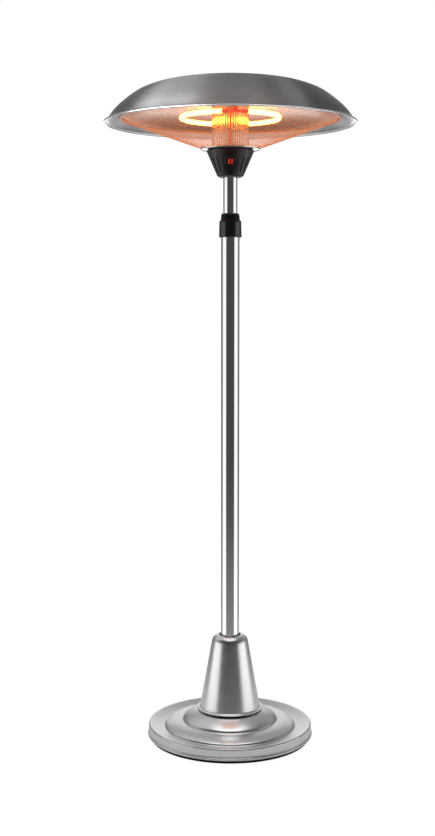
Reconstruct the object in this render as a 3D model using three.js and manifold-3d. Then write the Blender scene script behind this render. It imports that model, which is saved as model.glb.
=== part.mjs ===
// Infrared patio heater tower: a weighted round base with a cone cover, a telescopic pole with a
// twist lock, a control hub, and a dished head with a ring lamp behind a cone-shaped mesh guard.
// Millimetres, +Z up, the front faces -Y, and the origin is the middle of the base on the floor.
import * as THREE from 'three';
import { mergeVertices } from 'three/addons/utils/BufferGeometryUtils.js';
import Module from 'manifold-3d';

const wasm = await Module();
wasm.setup();

// ---------------------------------------------------------------- driving dimensions
const BIG = 36;                     // facets round the large spun parts
const MID = 24;
const SMALL = 20;

// dome: spun sheet, profile of the outer face [radius, height]
const DOME_T = 1.3;
const DOME = [[0, 1596], [50, 1594.4], [100, 1590.3], [150, 1583.4], [180, 1577.2], [202, 1570.0], [224, 1560.0],
  [243, 1546.9], [265, 1528.9], [279, 1514.2], [287, 1503.1], [292.5, 1496.6], [298.5, 1493.3]];
const DOME_LIP = [[300.5, 1491.1], [299.5, 1490.3]];

// reflector pan: profile of its lower, polished face
const PAN_T = 1.2;
const PAN = [[9, 1531], [70, 1531], [120, 1530.4], [160, 1527.5], [195, 1520.5], [236, 1505.6], [246, 1503.4], [262, 1503]];

// mesh guard: a cone from the hub plate out to the guard ring
const GUARD_R0 = 72.4, GUARD_Z0 = 1432.7, GUARD_R1 = 256.2, GUARD_Z1 = 1499.0, GUARD_T = 1.6;
const RING_R0 = 256.6, RING_R1 = 264;
const GUARD_SCREW_R = 260.2;

// ring lamp
const LAMP_R = 116, LAMP_Z = 1504, LAMP_TUBE_R = 5.5;
const LAMP_GAP_FROM = -10, LAMP_GAP_TO = 20;       // degrees from the front, towards +X
const CAP_DEG = 8, CAP_R = 6.8;

// centre column
const COL_R = 44, COL_T = 1.2, COL_Z0 = 1432.6, COL_Z1 = 1530.6;

// hub
const HUB_Z0 = 1366.4, HUB_R0 = 30.8, HUB_ZS = 1423.5, HUB_RS = 55.6, HUB_TOP = 1430.2, HUB_T = 2.4;
const HUB_TILT = Math.atan((HUB_RS - HUB_R0) / (HUB_ZS - HUB_Z0));
const hubR = (z) => HUB_R0 + (z - HUB_Z0) * Math.tan(HUB_TILT);
const PLATE_R = 72, PLATE_Z0 = 1430.6, PLATE_Z1 = 1432.2;
const WINDOW_W = 20.6, WINDOW_H = 24.4, WINDOW_T = 2.0, WINDOW_Z = 1396.5;
const SWITCH_Z = 1397;
const ROCKER_TILT = 6;                              // degrees either side of level

// poles
const UP_R = 17, UP_T = 1.5, UP_Z0 = 700, UP_Z1 = 1396;
const LOW_R = 22.2, LOW_T = 1.5, LOW_Z0 = 70.6, LOW_Z1 = 1262;

// base
const BASE = [[58, 70.9], [76, 70.8], [84, 68.4], [97, 61.9], [109.5, 53.6], [114, 49.9], [115.8, 45.6], [119, 44.5], [131, 43.6],
  [146, 39.7], [158.6, 33.9], [160.4, 30.3], [164, 29.6], [180, 32.9], [195, 36.6], [198.6, 36.2], [200.3, 33], [200.3, 18.2],
  [199.2, 15.2], [202.3, 13.2], [202.6, 10.2], [199.6, 7.6]];
const BASE_INNER = [[58, 69.4], [77, 69.0], [108.4, 52.4], [112.6, 48.8], [114.6, 44.4], [119, 43.1], [145, 38.3], [157.6, 32.7],
  [159.4, 29.2], [164, 28.2], [196.8, 35.2], [198.9, 32], [198.9, 18.4], [197.7, 15.2], [200.6, 12.4], [200.9, 10.6], [198.2, 7.8]];
const CONE = [[26.2, 256.3], [31, 256.3], [36.2, 253.8], [40.9, 249.5], [44.3, 241.5], [72.9, 80.8], [75.2, 75.8],
  [80.4, 73.4], [80.8, 71.5]];
const CONE_INNER = [[26.2, 254.7], [31, 254.6], [35.4, 252.3], [39.5, 248.7], [42.8, 241.2], [71.4, 80.6], [74.2, 74.2], [78.5, 71.5]];
const BOLT_PCR = 40;

// ---------------------------------------------------------------- helpers
const rad = (d) => d * Math.PI / 180;
// degrees from the front (-Y), towards +X
const around = (r, deg, z) => new THREE.Vector3(r * Math.sin(rad(deg)), -r * Math.cos(rad(deg)), z);

function toManifold(geometry) {
  const g = geometry.clone();
  for (const name of Object.keys(g.attributes)) if (name !== 'position') g.deleteAttribute(name);
  const m = mergeVertices(g, 1e-4);
  const pos = m.attributes.position.array;
  const raw = m.index.array;
  const tri = [];
  for (let i = 0; i < raw.length; i += 3) {
    const [a, b, c] = [raw[i], raw[i + 1], raw[i + 2]];
    if (a !== b && b !== c && a !== c) tri.push(a, b, c);
  }
  let volume = 0;
  const v = (i) => [pos[3 * i], pos[3 * i + 1], pos[3 * i + 2]];
  for (let i = 0; i < tri.length; i += 3) {
    const [a, b, c] = [v(tri[i]), v(tri[i + 1]), v(tri[i + 2])];
    volume += a[0] * (b[1] * c[2] - b[2] * c[1]) - a[1] * (b[0] * c[2] - b[2] * c[0]) + a[2] * (b[0] * c[1] - b[1] * c[0]);
  }
  if (volume < 0) for (let i = 0; i < tri.length; i += 3) [tri[i + 1], tri[i + 2]] = [tri[i + 2], tri[i + 1]];
  return new wasm.Manifold(new wasm.Mesh({ numProp: 3, vertProperties: new Float32Array(pos), triVerts: new Uint32Array(tri) }));
}

function toGeometry(solid) {
  const m = solid.getMesh();
  const g = new THREE.BufferGeometry();
  const n = m.numProp;
  const count = m.vertProperties.length / n;
  const pos = new Float32Array(count * 3);
  for (let i = 0; i < count; i++) for (let k = 0; k < 3; k++) pos[3 * i + k] = m.vertProperties[n * i + k];
  g.setAttribute('position', new THREE.BufferAttribute(pos, 3));
  g.setIndex(new THREE.BufferAttribute(new Uint32Array(m.triVerts), 1));
  g.computeVertexNormals();
  return g;
}

// turns a closed profile of [radius, height] points about +Z
function lathe(points, segments = MID) {
  const first = points[0], last = points[points.length - 1];
  const onAxis = first[0] < 1e-6 && last[0] < 1e-6;
  const list = onAxis ? points : [...points, first];
  const g = new THREE.LatheGeometry(list.map(([r, z]) => new THREE.Vector2(r, z)), segments);
  g.rotateX(Math.PI / 2);
  return toManifold(g);
}

// the profile of a sheet of thickness t behind an outer face drawn from the axis outwards
function sheet(outer, t, lip = [], keep = null) {
  const inner = [];
  for (let i = 0; i < outer.length; i++) {
    const ds = [];
    for (const [a, b] of [[i - 1, i], [i, i + 1]]) {
      if (a < 0 || b >= outer.length) continue;
      const dr = outer[b][0] - outer[a][0], dz = outer[b][1] - outer[a][1], len = Math.hypot(dr, dz);
      ds.push([dz / len, -dr / len]);
    }
    let nx = 0, nz = 0;
    for (const d of ds) { nx += d[0] / ds.length; nz += d[1] / ds.length; }
    const len = Math.hypot(nx, nz);
    const k = Math.min(1 / len, 1.35) / len;
    if (keep && !keep.includes(i)) continue;
    inner.push([outer[i][0] < 1e-6 ? 0 : outer[i][0] + nx * k * t, outer[i][1] + nz * k * t]);
  }
  return [...outer, ...lip, ...inner.reverse()];
}

const box = (x0, y0, z0, x1, y1, z1) => {
  const g = new THREE.BoxGeometry(x1 - x0, y1 - y0, z1 - z0);
  g.translate((x0 + x1) / 2, (y0 + y1) / 2, (z0 + z1) / 2);
  return toManifold(g);
};

// a cylinder from point a to point b
function rod(a, b, r, sides = 20, r2 = r) {
  const axis = new THREE.Vector3().subVectors(b, a);
  const g = new THREE.CylinderGeometry(r2, r, axis.length(), sides);
  g.applyQuaternion(new THREE.Quaternion().setFromUnitVectors(new THREE.Vector3(0, 1, 0), axis.clone().normalize()));
  const mid = new THREE.Vector3().addVectors(a, b).multiplyScalar(0.5);
  g.translate(mid.x, mid.y, mid.z);
  return toManifold(g);
}
const V = (x, y, z) => new THREE.Vector3(x, y, z);
const post = (x, y, z0, z1, r, sides = 20) => rod(V(x, y, z0), V(x, y, z1), r, sides);

function sweep(curve, r, sides, steps) {
  const shape = new THREE.Shape();
  for (let i = 0; i < sides; i++) {
    const a = 2 * Math.PI * i / sides;
    if (i) shape.lineTo(r * Math.cos(a), r * Math.sin(a)); else shape.moveTo(r, 0);
  }
  shape.closePath();
  return toManifold(new THREE.ExtrudeGeometry(shape, { steps, extrudePath: curve, bevelEnabled: false }));
}

class RingArc extends THREE.Curve {
  constructor(r, z, from, to) { super(); this.r = r; this.z = z; this.from = from; this.to = to; }
  getPoint(t, target = new THREE.Vector3()) {
    return target.copy(around(this.r, this.from + (this.to - this.from) * t, this.z));
  }
}

// straight runs joined by rounded corners
function wirePath(points, r) {
  const path = new THREE.CurvePath();
  let at = points[0];
  for (let i = 1; i < points.length - 1; i++) {
    const p = points[i];
    const back = new THREE.Vector3().subVectors(at, p), on = new THREE.Vector3().subVectors(points[i + 1], p);
    const k = Math.min(r, back.length() * 0.45, on.length() * 0.45);
    const a = p.clone().addScaledVector(back.normalize(), k), b = p.clone().addScaledVector(on.normalize(), k);
    path.add(new THREE.LineCurve3(at, a));
    path.add(new THREE.QuadraticBezierCurve3(a, p, b));
    at = b;
  }
  path.add(new THREE.LineCurve3(at, points[points.length - 1]));
  return path;
}

function extrudeX(points, x0, x1) {     // outline of [y, z] points, extruded along X
  const shape = new THREE.Shape(points.map(([y, z]) => new THREE.Vector2(y, z)));
  const g = new THREE.ExtrudeGeometry(shape, { depth: x1 - x0, bevelEnabled: false, steps: 1 });
  g.applyMatrix4(new THREE.Matrix4().set(0, 0, 1, x0, 1, 0, 0, 0, 0, 1, 0, 0, 0, 0, 0, 1));
  return toManifold(g);
}

function moved(solid, matrix) {
  const g = toGeometry(solid);
  g.applyMatrix4(matrix);
  return toManifold(g);
}

const model = new THREE.Group();
model.name = 'infrared_patio_heater_tower';
function part(name, solid, color, roughness, metalness, parent = model) {
  const material = new THREE.MeshStandardMaterial({ color, roughness, metalness });
  material.name = name;
  const mesh = new THREE.Mesh(toGeometry(solid), material);
  mesh.name = name;
  parent.add(mesh);
  return mesh;
}

const stand = new THREE.Group(); stand.name = 'stand'; model.add(stand);
const mast = new THREE.Group(); mast.name = 'mast'; model.add(mast);

// ---------------------------------------------------------------- base
// The cover is a spun steel pressing with two raised steps, a rolled edge and a bulged side band.
const GROMMET_Z = 24.8;
let cover = lathe([...BASE, ...[...BASE_INNER].reverse()], BIG);
cover = cover.subtract(rod(V(0, 180, GROMMET_Z), V(0, 215, GROMMET_Z), 6.7, 20));
part('base_cover', cover, 0xb9babd, 0.36, 0.85, stand);

// The ballast is a cast weight with a raised boss, a cable channel and four blind bolt holes.
let ballast = lathe([[12, 8.5], [186, 8.5], [186, 21], [182, 24.5], [82, 26], [66, 34], [58, 62], [12, 62]], BIG);
ballast = ballast.subtract(box(-7, 0, 8, 7, 200, 17));
for (let i = 0; i < 4; i++) {
  const p = around(BOLT_PCR, 45 + 90 * i, 0);
  ballast = ballast.subtract(post(p.x, p.y, 36, 66, 4.4, 16));
}
part('base_ballast', ballast, 0x77746e, 0.95, 0.0, stand);

let bottomPlate = lathe([[12, 6.3], [196.6, 6.3], [196.6, 8.1], [12, 8.1]], BIG);
part('base_bottom_plate', bottomPlate, 0x3a3b3d, 0.6, 0.6, stand);
part('base_foot_ring', lathe([[181, 0], [194.8, 0], [195.8, 1.2], [195.8, 6.0], [181, 6.0]], BIG), 0x161617, 0.8, 0.0, stand);

// cable grommet at the back of the side band: a sleeve with an outer flange and a through hole
let grommet = rod(V(0, 190.8, GROMMET_Z), V(0, 200.9, GROMMET_Z), 6.3, 20)
  .add(rod(V(0, 200.7, GROMMET_Z), V(0, 203.4, GROMMET_Z), 9.2, 20, 7.6))
  .subtract(rod(V(0, 185, GROMMET_Z), V(0, 210, GROMMET_Z), 3.7, 16));
part('cable_grommet', grommet, 0x1b1b1c, 0.7, 0.0, stand);

// pole socket: flange and stub tube bolted down on the boss
let socket = lathe([[12, 62.3], [54, 62.3], [54, 68.3], [29, 68.3], [25.8, 71.5], [25.8, 150], [22.5, 150], [22.5, 70.3], [12, 70.3]], MID);
for (let i = 0; i < 4; i++) {
  const p = around(BOLT_PCR, 45 + 90 * i, 0);
  socket = socket.subtract(post(p.x, p.y, 60, 72, 4.4, 16));
}
socket = socket.subtract(rod(V(20, 0, 112), V(30, 0, 112), 3.3, 14));
part('pole_socket', socket, 0x4a4c4f, 0.55, 0.8, stand);
for (let i = 0; i < 4; i++) {
  const p = around(BOLT_PCR, 45 + 90 * i, 0);
  const bolt = post(p.x, p.y, 40, 69, 4.0, 16).add(post(p.x, p.y, 68.6, 74.2, 7.5, 6));
  part(`socket_bolt_${i + 1}`, bolt, 0xa9abae, 0.35, 0.95, stand);
}
const setScrew = rod(V(22.6, 0, 112), V(27, 0, 112), 3.0, 14).add(rod(V(26.2, 0, 112), V(30.6, 0, 112), 5.2, 18));
part('socket_set_screw', setScrew, 0xa9abae, 0.35, 0.95, stand);

// ---------------------------------------------------------------- lower pole and lock
part('lower_pole', lathe([[LOW_R - LOW_T, LOW_Z0], [LOW_R, LOW_Z0], [LOW_R, LOW_Z1], [LOW_R - LOW_T, LOW_Z1]], SMALL), 0xd2d3d5, 0.12, 1.0, stand);

let collet = lathe([[17.3, 1226], [20.4, 1226], [20.4, 1261.6], [17.3, 1261.6]], SMALL);
collet = collet.subtract(box(-1.5, 10, 1220, 1.5, 25, 1270));
part('lock_collet', collet, 0xe6e4dc, 0.5, 0.0, stand);

part('pole_end_collar', lathe([[22.5, 1226], [24.6, 1226], [24.6, 1262.8], [23.4, 1263.4], [23.2, 1278.6], [22.4, 1280], [17.5, 1280],
  [17.5, 1262.4], [22.5, 1262.4]], MID), 0x141415, 0.3, 0.0, stand);

const sleeve = lathe([[24.9, 1223.2], [27.2, 1223.2], [27.9, 1224.6], [26.6, 1261.4], [25.8, 1263.0], [24.9, 1263.0]], MID);
part('lock_sleeve', sleeve, 0x121213, 0.28, 0.0, stand);

part('cone_cover', lathe([...CONE, ...[...CONE_INNER].reverse()], MID), 0xc3c4c7, 0.3, 0.9, stand);

// ---------------------------------------------------------------- upper pole and hub
part('upper_pole', lathe([[UP_R - UP_T, UP_Z0], [UP_R, UP_Z0], [UP_R, UP_Z1], [UP_R - UP_T, UP_Z1]], SMALL), 0xd2d3d5, 0.12, 1.0, mast);
part('upper_pole_bush', lathe([[15.6, 694], [20.4, 694], [20.4, 740], [17.3, 740], [17.3, 699.7], [15.6, 699.7]], SMALL), 0xe6e4dc, 0.5, 0.0, mast);

const screwSpots = [0, 1, 2].map((i) => around(36, 60 + 120 * i, 0));
const HUB = [[15, HUB_TOP], [52.3, HUB_TOP], [55.3, 1428.6], [56.3, 1426], [HUB_RS, HUB_ZS], [HUB_R0, HUB_Z0]];
let hub = lathe(sheet(HUB, HUB_T), MID);
// a place on the tapered face: local +Z runs up the face, and local -Y (front) or +Y (back) points out of it
const front = (z, out) => new THREE.Matrix4().makeTranslation(0, -(hubR(z) + out), z).multiply(new THREE.Matrix4().makeRotationX(HUB_TILT));
const back = (z, out) => new THREE.Matrix4().makeTranslation(0, hubR(z) + out, z).multiply(new THREE.Matrix4().makeRotationX(-HUB_TILT));
hub = hub.subtract(moved(box(-WINDOW_W / 2 - 0.4, -8, -WINDOW_H / 2 - 0.4, WINDOW_W / 2 + 0.4, 8, WINDOW_H / 2 + 0.4), front(WINDOW_Z, 0)));
hub = hub.subtract(moved(box(-7.5, -8, -10.5, 7.5, 8, 10.5), back(SWITCH_Z, 0)));
for (const p of screwSpots) hub = hub.subtract(post(p.x, p.y, 1420, 1440, 2.4, 12));
part('hub_housing', hub, 0x1a1a1b, 0.4, 0.0, mast);

part('hub_bottom_cap', lathe([[17.4, 1364.6], [27.0, 1364.6], [27.6, 1365.3], [27.6, 1368.6], [20.6, 1368.6], [20.6, 1398.4], [17.4, 1398.4]], SMALL),
  0x5a5c5f, 0.45, 0.0, mast);

part('display_window', moved(box(-WINDOW_W / 2, 0, -WINDOW_H / 2, WINDOW_W / 2, WINDOW_T, WINDOW_H / 2), front(WINDOW_Z, -0.3)),
  0x0b0b0c, 0.1, 0.0, mast);
part('led_display', box(-9, -35.6, 1388.5, 9, -28.2, 1408), 0xc81e05, 0.4, 0.0, mast);
part('control_board', box(-18.5, -27.9, 1386, 18.5, -26.3, 1421), 0x1d5a33, 0.6, 0.1, mast);

// the power board is a disc above the pole, cut flat at the front and the back
let board = lathe([[7, 1401], [39, 1401], [39, 1402.6], [7, 1402.6]], MID);
board = board.subtract(box(-50, -60, 1399, 50, -25, 1405)).subtract(box(-50, 26, 1399, 50, 60, 1405));
part('power_board', board, 0x1d5a33, 0.6, 0.1, mast);
part('relay', box(-32, -12, 1402.9, -16, 8, 1418), 0x1c3c86, 0.45, 0.0, mast);
part('terminal_block', box(16, -12, 1402.9, 28, 12, 1414), 0xe2e0d6, 0.5, 0.0, mast);
part('tip_over_switch', post(-2, 17.5, 1402.9, 1414.5, 5, 16), 0x222224, 0.5, 0.1, mast);

// rear power switch: a bezel with its body through the housing, and a rocker between its two side walls
let switchBody = box(-7, -9.2, -10, 7, 0.4, 10).add(box(-8.6, 0.4, -11.6, 8.6, 2.0, 11.6)).subtract(box(-5.8, -6.6, -8.6, 5.8, 4, 8.6));
part('switch_body', moved(switchBody, back(SWITCH_Z, 0.3)), 0x111112, 0.4, 0.0, mast);
let rocker = extrudeX([[-3.2, -6.6], [2.3, -7.4], [1.7, 0], [2.3, 7.4], [-3.2, 6.6]], -5.3, 5.3);
rocker = moved(rocker, new THREE.Matrix4().makeRotationX(rad(ROCKER_TILT)));
part('power_rocker', moved(rocker, back(SWITCH_Z, 0.9)), 0x18181a, 0.35, 0.0, mast);

// ---------------------------------------------------------------- head
let plate = lathe([[30, PLATE_Z0], [PLATE_R, PLATE_Z0], [PLATE_R, PLATE_Z1], [30, PLATE_Z1]], BIG);
for (const p of screwSpots) plate = plate.subtract(post(p.x, p.y, 1425, 1440, 2.4, 12));
part('hub_plate', plate, 0xc9cacc, 0.25, 0.95, mast);

let footPlate = lathe([[14, 1432.6], [42.3, 1432.6], [42.3, 1435.4], [14, 1435.4]], MID);
for (const p of screwSpots) footPlate = footPlate.subtract(post(p.x, p.y, 1425, 1440, 2.4, 12));
part('column_foot_plate', footPlate, 0x9fa1a4, 0.4, 0.9, mast);
screwSpots.forEach((p, i) => part(`column_screw_${i + 1}`, post(p.x, p.y, 1424.5, 1436, 2.0, 12).add(post(p.x, p.y, 1435.7, 1438, 3.7, 16)),
  0xa9abae, 0.35, 0.95, mast));

part('centre_column', lathe([[COL_R - COL_T, COL_Z0], [COL_R, COL_Z0], [COL_R, COL_Z1], [COL_R - COL_T, COL_Z1]], MID), 0xe08a4a, 0.22, 0.9, mast);
part('column_top_plate', lathe([[14, 1527.6], [42.3, 1527.6], [42.3, 1530.6], [14, 1530.6]], MID), 0x9fa1a4, 0.4, 0.9, mast);

// the lamp's two leads rise through the pan above its end caps
const leadSpots = [around(LAMP_R, LAMP_GAP_FROM + CAP_DEG / 2, 0), around(LAMP_R, LAMP_GAP_TO - CAP_DEG / 2, 0)];
const spacerSpots = [0, 1, 2].map((i) => around(120, 60 + 120 * i, 0));
const guardScrewSpots = [0, 1, 2, 3].map((i) => around(GUARD_SCREW_R, 45 + 90 * i, 0));
let pan = lathe(sheet(PAN, -PAN_T, [], [0, 2, 3, 4, 5, 6, 7]), BIG);
for (const p of leadSpots) pan = pan.subtract(post(p.x, p.y, 1520, 1545, 3.2, 14));
for (const p of guardScrewSpots) pan = pan.subtract(post(p.x, p.y, 1498, 1510, 1.9, 10));
part('reflector_pan', pan, 0xd8d4cd, 0.3, 0.9, mast);

part('guard_mesh', lathe([[GUARD_R0, GUARD_Z0], [GUARD_R1, GUARD_Z1], [GUARD_R1, GUARD_Z1 + GUARD_T], [GUARD_R0, GUARD_Z0 + GUARD_T]], BIG),
  0xb98f78, 0.35, 0.8, mast);
let ring = lathe([[RING_R0, 1499.2], [262.6, 1498.8], [RING_R1, 1500.6], [RING_R1, 1502.7], [RING_R0, 1502.7]], BIG);
for (const p of guardScrewSpots) ring = ring.subtract(post(p.x, p.y, 1495, 1505, 1.9, 10));
part('guard_ring', ring, 0xc9c5c0, 0.3, 0.9, mast);
guardScrewSpots.forEach((p, i) => part(`guard_screw_${i + 1}`, post(p.x, p.y, 1498, 1507, 1.5, 10).add(post(p.x, p.y, 1496.6, 1498.4, 3, 14)),
  0xa9abae, 0.35, 0.95, mast));

// ring lamp, with a ceramic cap on each end, a holder between the caps and three spring clips
part('lamp_tube', sweep(new RingArc(LAMP_R, LAMP_Z, LAMP_GAP_TO + 0.2, 360 + LAMP_GAP_FROM - 0.2), LAMP_TUBE_R, 8, 48), 0xffe2a8, 0.15, 0.0, mast);
const leftCap = sweep(new RingArc(LAMP_R, LAMP_Z, LAMP_GAP_FROM, LAMP_GAP_FROM + CAP_DEG), CAP_R, 12, 3);
const rightCap = sweep(new RingArc(LAMP_R, LAMP_Z, LAMP_GAP_TO - CAP_DEG, LAMP_GAP_TO), CAP_R, 12, 3);
part('lamp_end_cap_left', leftCap, 0x8f2d18, 0.7, 0.0, mast);
part('lamp_end_cap_right', rightCap, 0x8f2d18, 0.7, 0.0, mast);

const holderTurn = new THREE.Matrix4().makeRotationZ(rad((LAMP_GAP_FROM + LAMP_GAP_TO) / 2));
let holder = box(-12.6, -LAMP_R - 4, 1499.5, 12.6, -LAMP_R + 4, 1509).add(box(-9, -LAMP_R - 1, 1508, 9, -LAMP_R + 1, 1529.4))
  .add(box(-9, -LAMP_R - 1, 1528.2, 9, -LAMP_R + 13, 1530.0));
part('lamp_holder', moved(holder, holderTurn), 0x7a2414, 0.6, 0.2, mast);

// a clip: an open ring round the tube, with a strap up to the pan
function clip(deg) {
  const ri = LAMP_TUBE_R + 0.4, ro = ri + 1.4, open = 48;
  const s = new THREE.Shape();
  const pt = (r, a) => [r * Math.sin(rad(a)), -r * Math.cos(rad(a))];   // a is measured from straight down
  const outline = [];
  for (let a = open; a <= 360 - open; a += 12) {
    const on = Math.abs(a - 180) < 11;
    outline.push(pt(ro, a));
    if (on) { outline.pop(); outline.push([0.9, 7.2], [0.9, 25.8], [-0.9, 25.8], [-0.9, 7.2]); }
  }
  for (let a = 360 - open; a >= open; a -= 12) outline.push(pt(ri, a));
  outline.forEach(([x, y], i) => (i ? s.lineTo(x, y) : s.moveTo(x, y)));
  s.closePath();
  const g = new THREE.ExtrudeGeometry(s, { depth: 8, bevelEnabled: false, steps: 1 });
  g.translate(0, 0, -4);
  // local x is radial, local y is up, and the extrusion runs along the tube
  g.applyMatrix4(new THREE.Matrix4().set(0, 0, 1, 0, 1, 0, 0, -LAMP_R, 0, 1, 0, LAMP_Z, 0, 0, 0, 1));
  g.applyMatrix4(new THREE.Matrix4().makeRotationZ(rad(deg)));
  return toManifold(g);
}
part('lamp_clip_left', clip(-98), 0x8c3a20, 0.4, 0.9, mast);
part('lamp_clip_right', clip(82), 0x8c3a20, 0.4, 0.9, mast);
part('lamp_clip_rear', clip(185), 0x8c3a20, 0.4, 0.9, mast);

['left', 'right'].forEach((side, i) => {
  const p = leadSpots[i], sx = i ? 3.6 : -3.6;
  const points = [V(p.x, p.y, LAMP_Z + CAP_R + 0.4), V(p.x, p.y, 1546), V(sx, 0, 1546), V(sx, 0, 1424), V(i ? 22 : 19, i ? 6 : -6, 1424), V(i ? 22 : 19, i ? 6 : -6, 1414.4)];
  part(`lamp_lead_${side}`, sweep(wirePath(points, 7), 1.5, 5, 36), 0xe9e4d8, 0.8, 0.0, mast);
});

// dome, on three spacers
spacerSpots.forEach((p, i) => {
  part(`dome_spacer_${i + 1}`, post(p.x, p.y, 1532.3, 1584.0, 5, 14).subtract(post(p.x, p.y, 1550, 1600, 2.3, 12)), 0xa9abae, 0.4, 0.9, mast);
});
let dome = lathe(sheet(DOME, DOME_T, DOME_LIP, [0, 2, 4, 6, 8, 10, 11, 12]), BIG);
for (const p of spacerSpots) dome = dome.subtract(post(p.x, p.y, 1575, 1600, 2.4, 12));
part('dome_shell', dome, 0x75777a, 0.34, 0.95, mast);
spacerSpots.forEach((p, i) => {
  const screw = post(p.x, p.y, 1562, 1589.5, 1.9, 12).add(rod(V(p.x, p.y, 1589.0), V(p.x, p.y, 1591.6), 5, 18, 3.4));
  part(`dome_screw_${i + 1}`, screw, 0xb4b6b9, 0.3, 0.95, mast);
});

export default model;
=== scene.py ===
import math
import random

import bmesh
import bpy
from mathutils import Matrix, Vector


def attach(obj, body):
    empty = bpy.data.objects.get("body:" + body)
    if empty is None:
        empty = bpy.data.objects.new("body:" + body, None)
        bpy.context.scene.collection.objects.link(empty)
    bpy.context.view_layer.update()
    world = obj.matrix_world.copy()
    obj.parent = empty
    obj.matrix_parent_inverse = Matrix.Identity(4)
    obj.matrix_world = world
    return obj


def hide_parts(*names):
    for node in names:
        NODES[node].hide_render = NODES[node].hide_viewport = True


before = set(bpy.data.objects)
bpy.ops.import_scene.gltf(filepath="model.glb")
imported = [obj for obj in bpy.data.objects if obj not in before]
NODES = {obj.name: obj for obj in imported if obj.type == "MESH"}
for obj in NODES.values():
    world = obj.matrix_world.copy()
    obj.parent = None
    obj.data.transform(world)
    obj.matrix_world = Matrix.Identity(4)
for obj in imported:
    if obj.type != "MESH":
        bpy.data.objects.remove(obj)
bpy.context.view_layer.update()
MM = 0.001
TAU = 2 * math.pi
random.seed(7)


# ------------------------------------------------------------------ mesh helpers
def new_object(name, verts, faces, loop_normals=None, smooth=True, sharp=None):
    me = bpy.data.meshes.new(name)
    me.from_pydata(verts, [], faces)
    me.update()
    if smooth:
        me.polygons.foreach_set("use_smooth", [True] * len(me.polygons))
    if loop_normals is not None:
        me.normals_split_custom_set(loop_normals)
    elif sharp is not None:
        me.set_sharp_from_angle(angle=math.radians(sharp))
    ob = bpy.data.objects.new(name, me)
    bpy.context.scene.collection.objects.link(ob)
    return ob


def spline(points, n=4):
    """A Catmull-Rom curve through 2-D points, with n steps between each pair."""
    out = []
    for i in range(len(points) - 1):
        p0 = points[max(i - 1, 0)]
        p1, p2 = points[i], points[i + 1]
        p3 = points[min(i + 2, len(points) - 1)]

        def tangent(a, b, c):
            d1, d2 = math.dist(a, b), math.dist(b, c)
            if d1 < 1e-9 or d2 < 1e-9:
                return ((c[0] - a[0]) / max(d1 + d2, 1e-9), (c[1] - a[1]) / max(d1 + d2, 1e-9))
            k = [((b[j] - a[j]) / d1 * d2 + (c[j] - b[j]) / d2 * d1) / (d1 + d2) for j in (0, 1)]
            return k

        span = math.dist(p1, p2)
        m1, m2 = tangent(p0, p1, p2), tangent(p1, p2, p3)
        if i == 0:
            m1 = [(p2[j] - p1[j]) / span for j in (0, 1)]
        if i == len(points) - 2:
            m2 = [(p2[j] - p1[j]) / span for j in (0, 1)]
        for s in range(n):
            t = s / n
            h00, h10 = 2 * t**3 - 3 * t**2 + 1, t**3 - 2 * t**2 + t
            h01, h11 = -2 * t**3 + 3 * t**2, t**3 - t**2
            out.append(tuple(h00 * p1[j] + h10 * span * m1[j] + h01 * p2[j] + h11 * span * m2[j] for j in (0, 1)))
    out.append(tuple(points[-1]))
    return out


def rounded(points, step=15.0):
    """Closed outline from (r, z, fillet radius) corners, in mm."""
    out = []
    n = len(points)
    for i in range(n):
        p = Vector(points[i][:2])
        rad = points[i][2] if len(points[i]) > 2 else 0.0
        a, b = Vector(points[i - 1][:2]), Vector(points[(i + 1) % n][:2])
        u, v = (a - p), (b - p)
        if rad <= 0 or u.length < 1e-6 or v.length < 1e-6:
            out.append(tuple(p))
            continue
        lu, lv = u.length, v.length
        u.normalize(), v.normalize()
        half = math.acos(max(-1.0, min(1.0, u.dot(v)))) / 2
        if half > math.radians(89) or half < math.radians(1):
            out.append(tuple(p))
            continue
        d = min(rad / math.tan(half), lu * 0.49, lv * 0.49)
        r = d * math.tan(half)
        centre = p + (u + v).normalized() * (r / math.sin(half))
        s, e = p + u * d - centre, p + v * d - centre
        turn = math.pi - 2 * half
        k = max(2, math.ceil(math.degrees(turn) / step))
        sign = 1 if s.x * e.y - s.y * e.x > 0 else -1
        for j in range(k + 1):
            w = sign * turn * j / k
            out.append((centre.x + s.x * math.cos(w) - s.y * math.sin(w), centre.y + s.x * math.sin(w) + s.y * math.cos(w)))
    return out


def sheet(outer, t, lip=()):
    """Closed outline of a sheet of thickness t (mm) behind an outer curve that runs from the axis outwards."""
    inner = []
    for i in range(len(outer)):
        a, b = outer[max(i - 1, 0)], outer[min(i + 1, len(outer) - 1)]
        dr, dz = b[0] - a[0], b[1] - a[1]
        ln = math.hypot(dr, dz)
        r = outer[i][0] + t * dz / ln
        if outer[i][0] < 1e-6:
            r = 0.0
        inner.append((max(r, 0.0), outer[i][1] - t * dr / ln))
    return list(outer) + list(lip) + inner[::-1]


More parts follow.
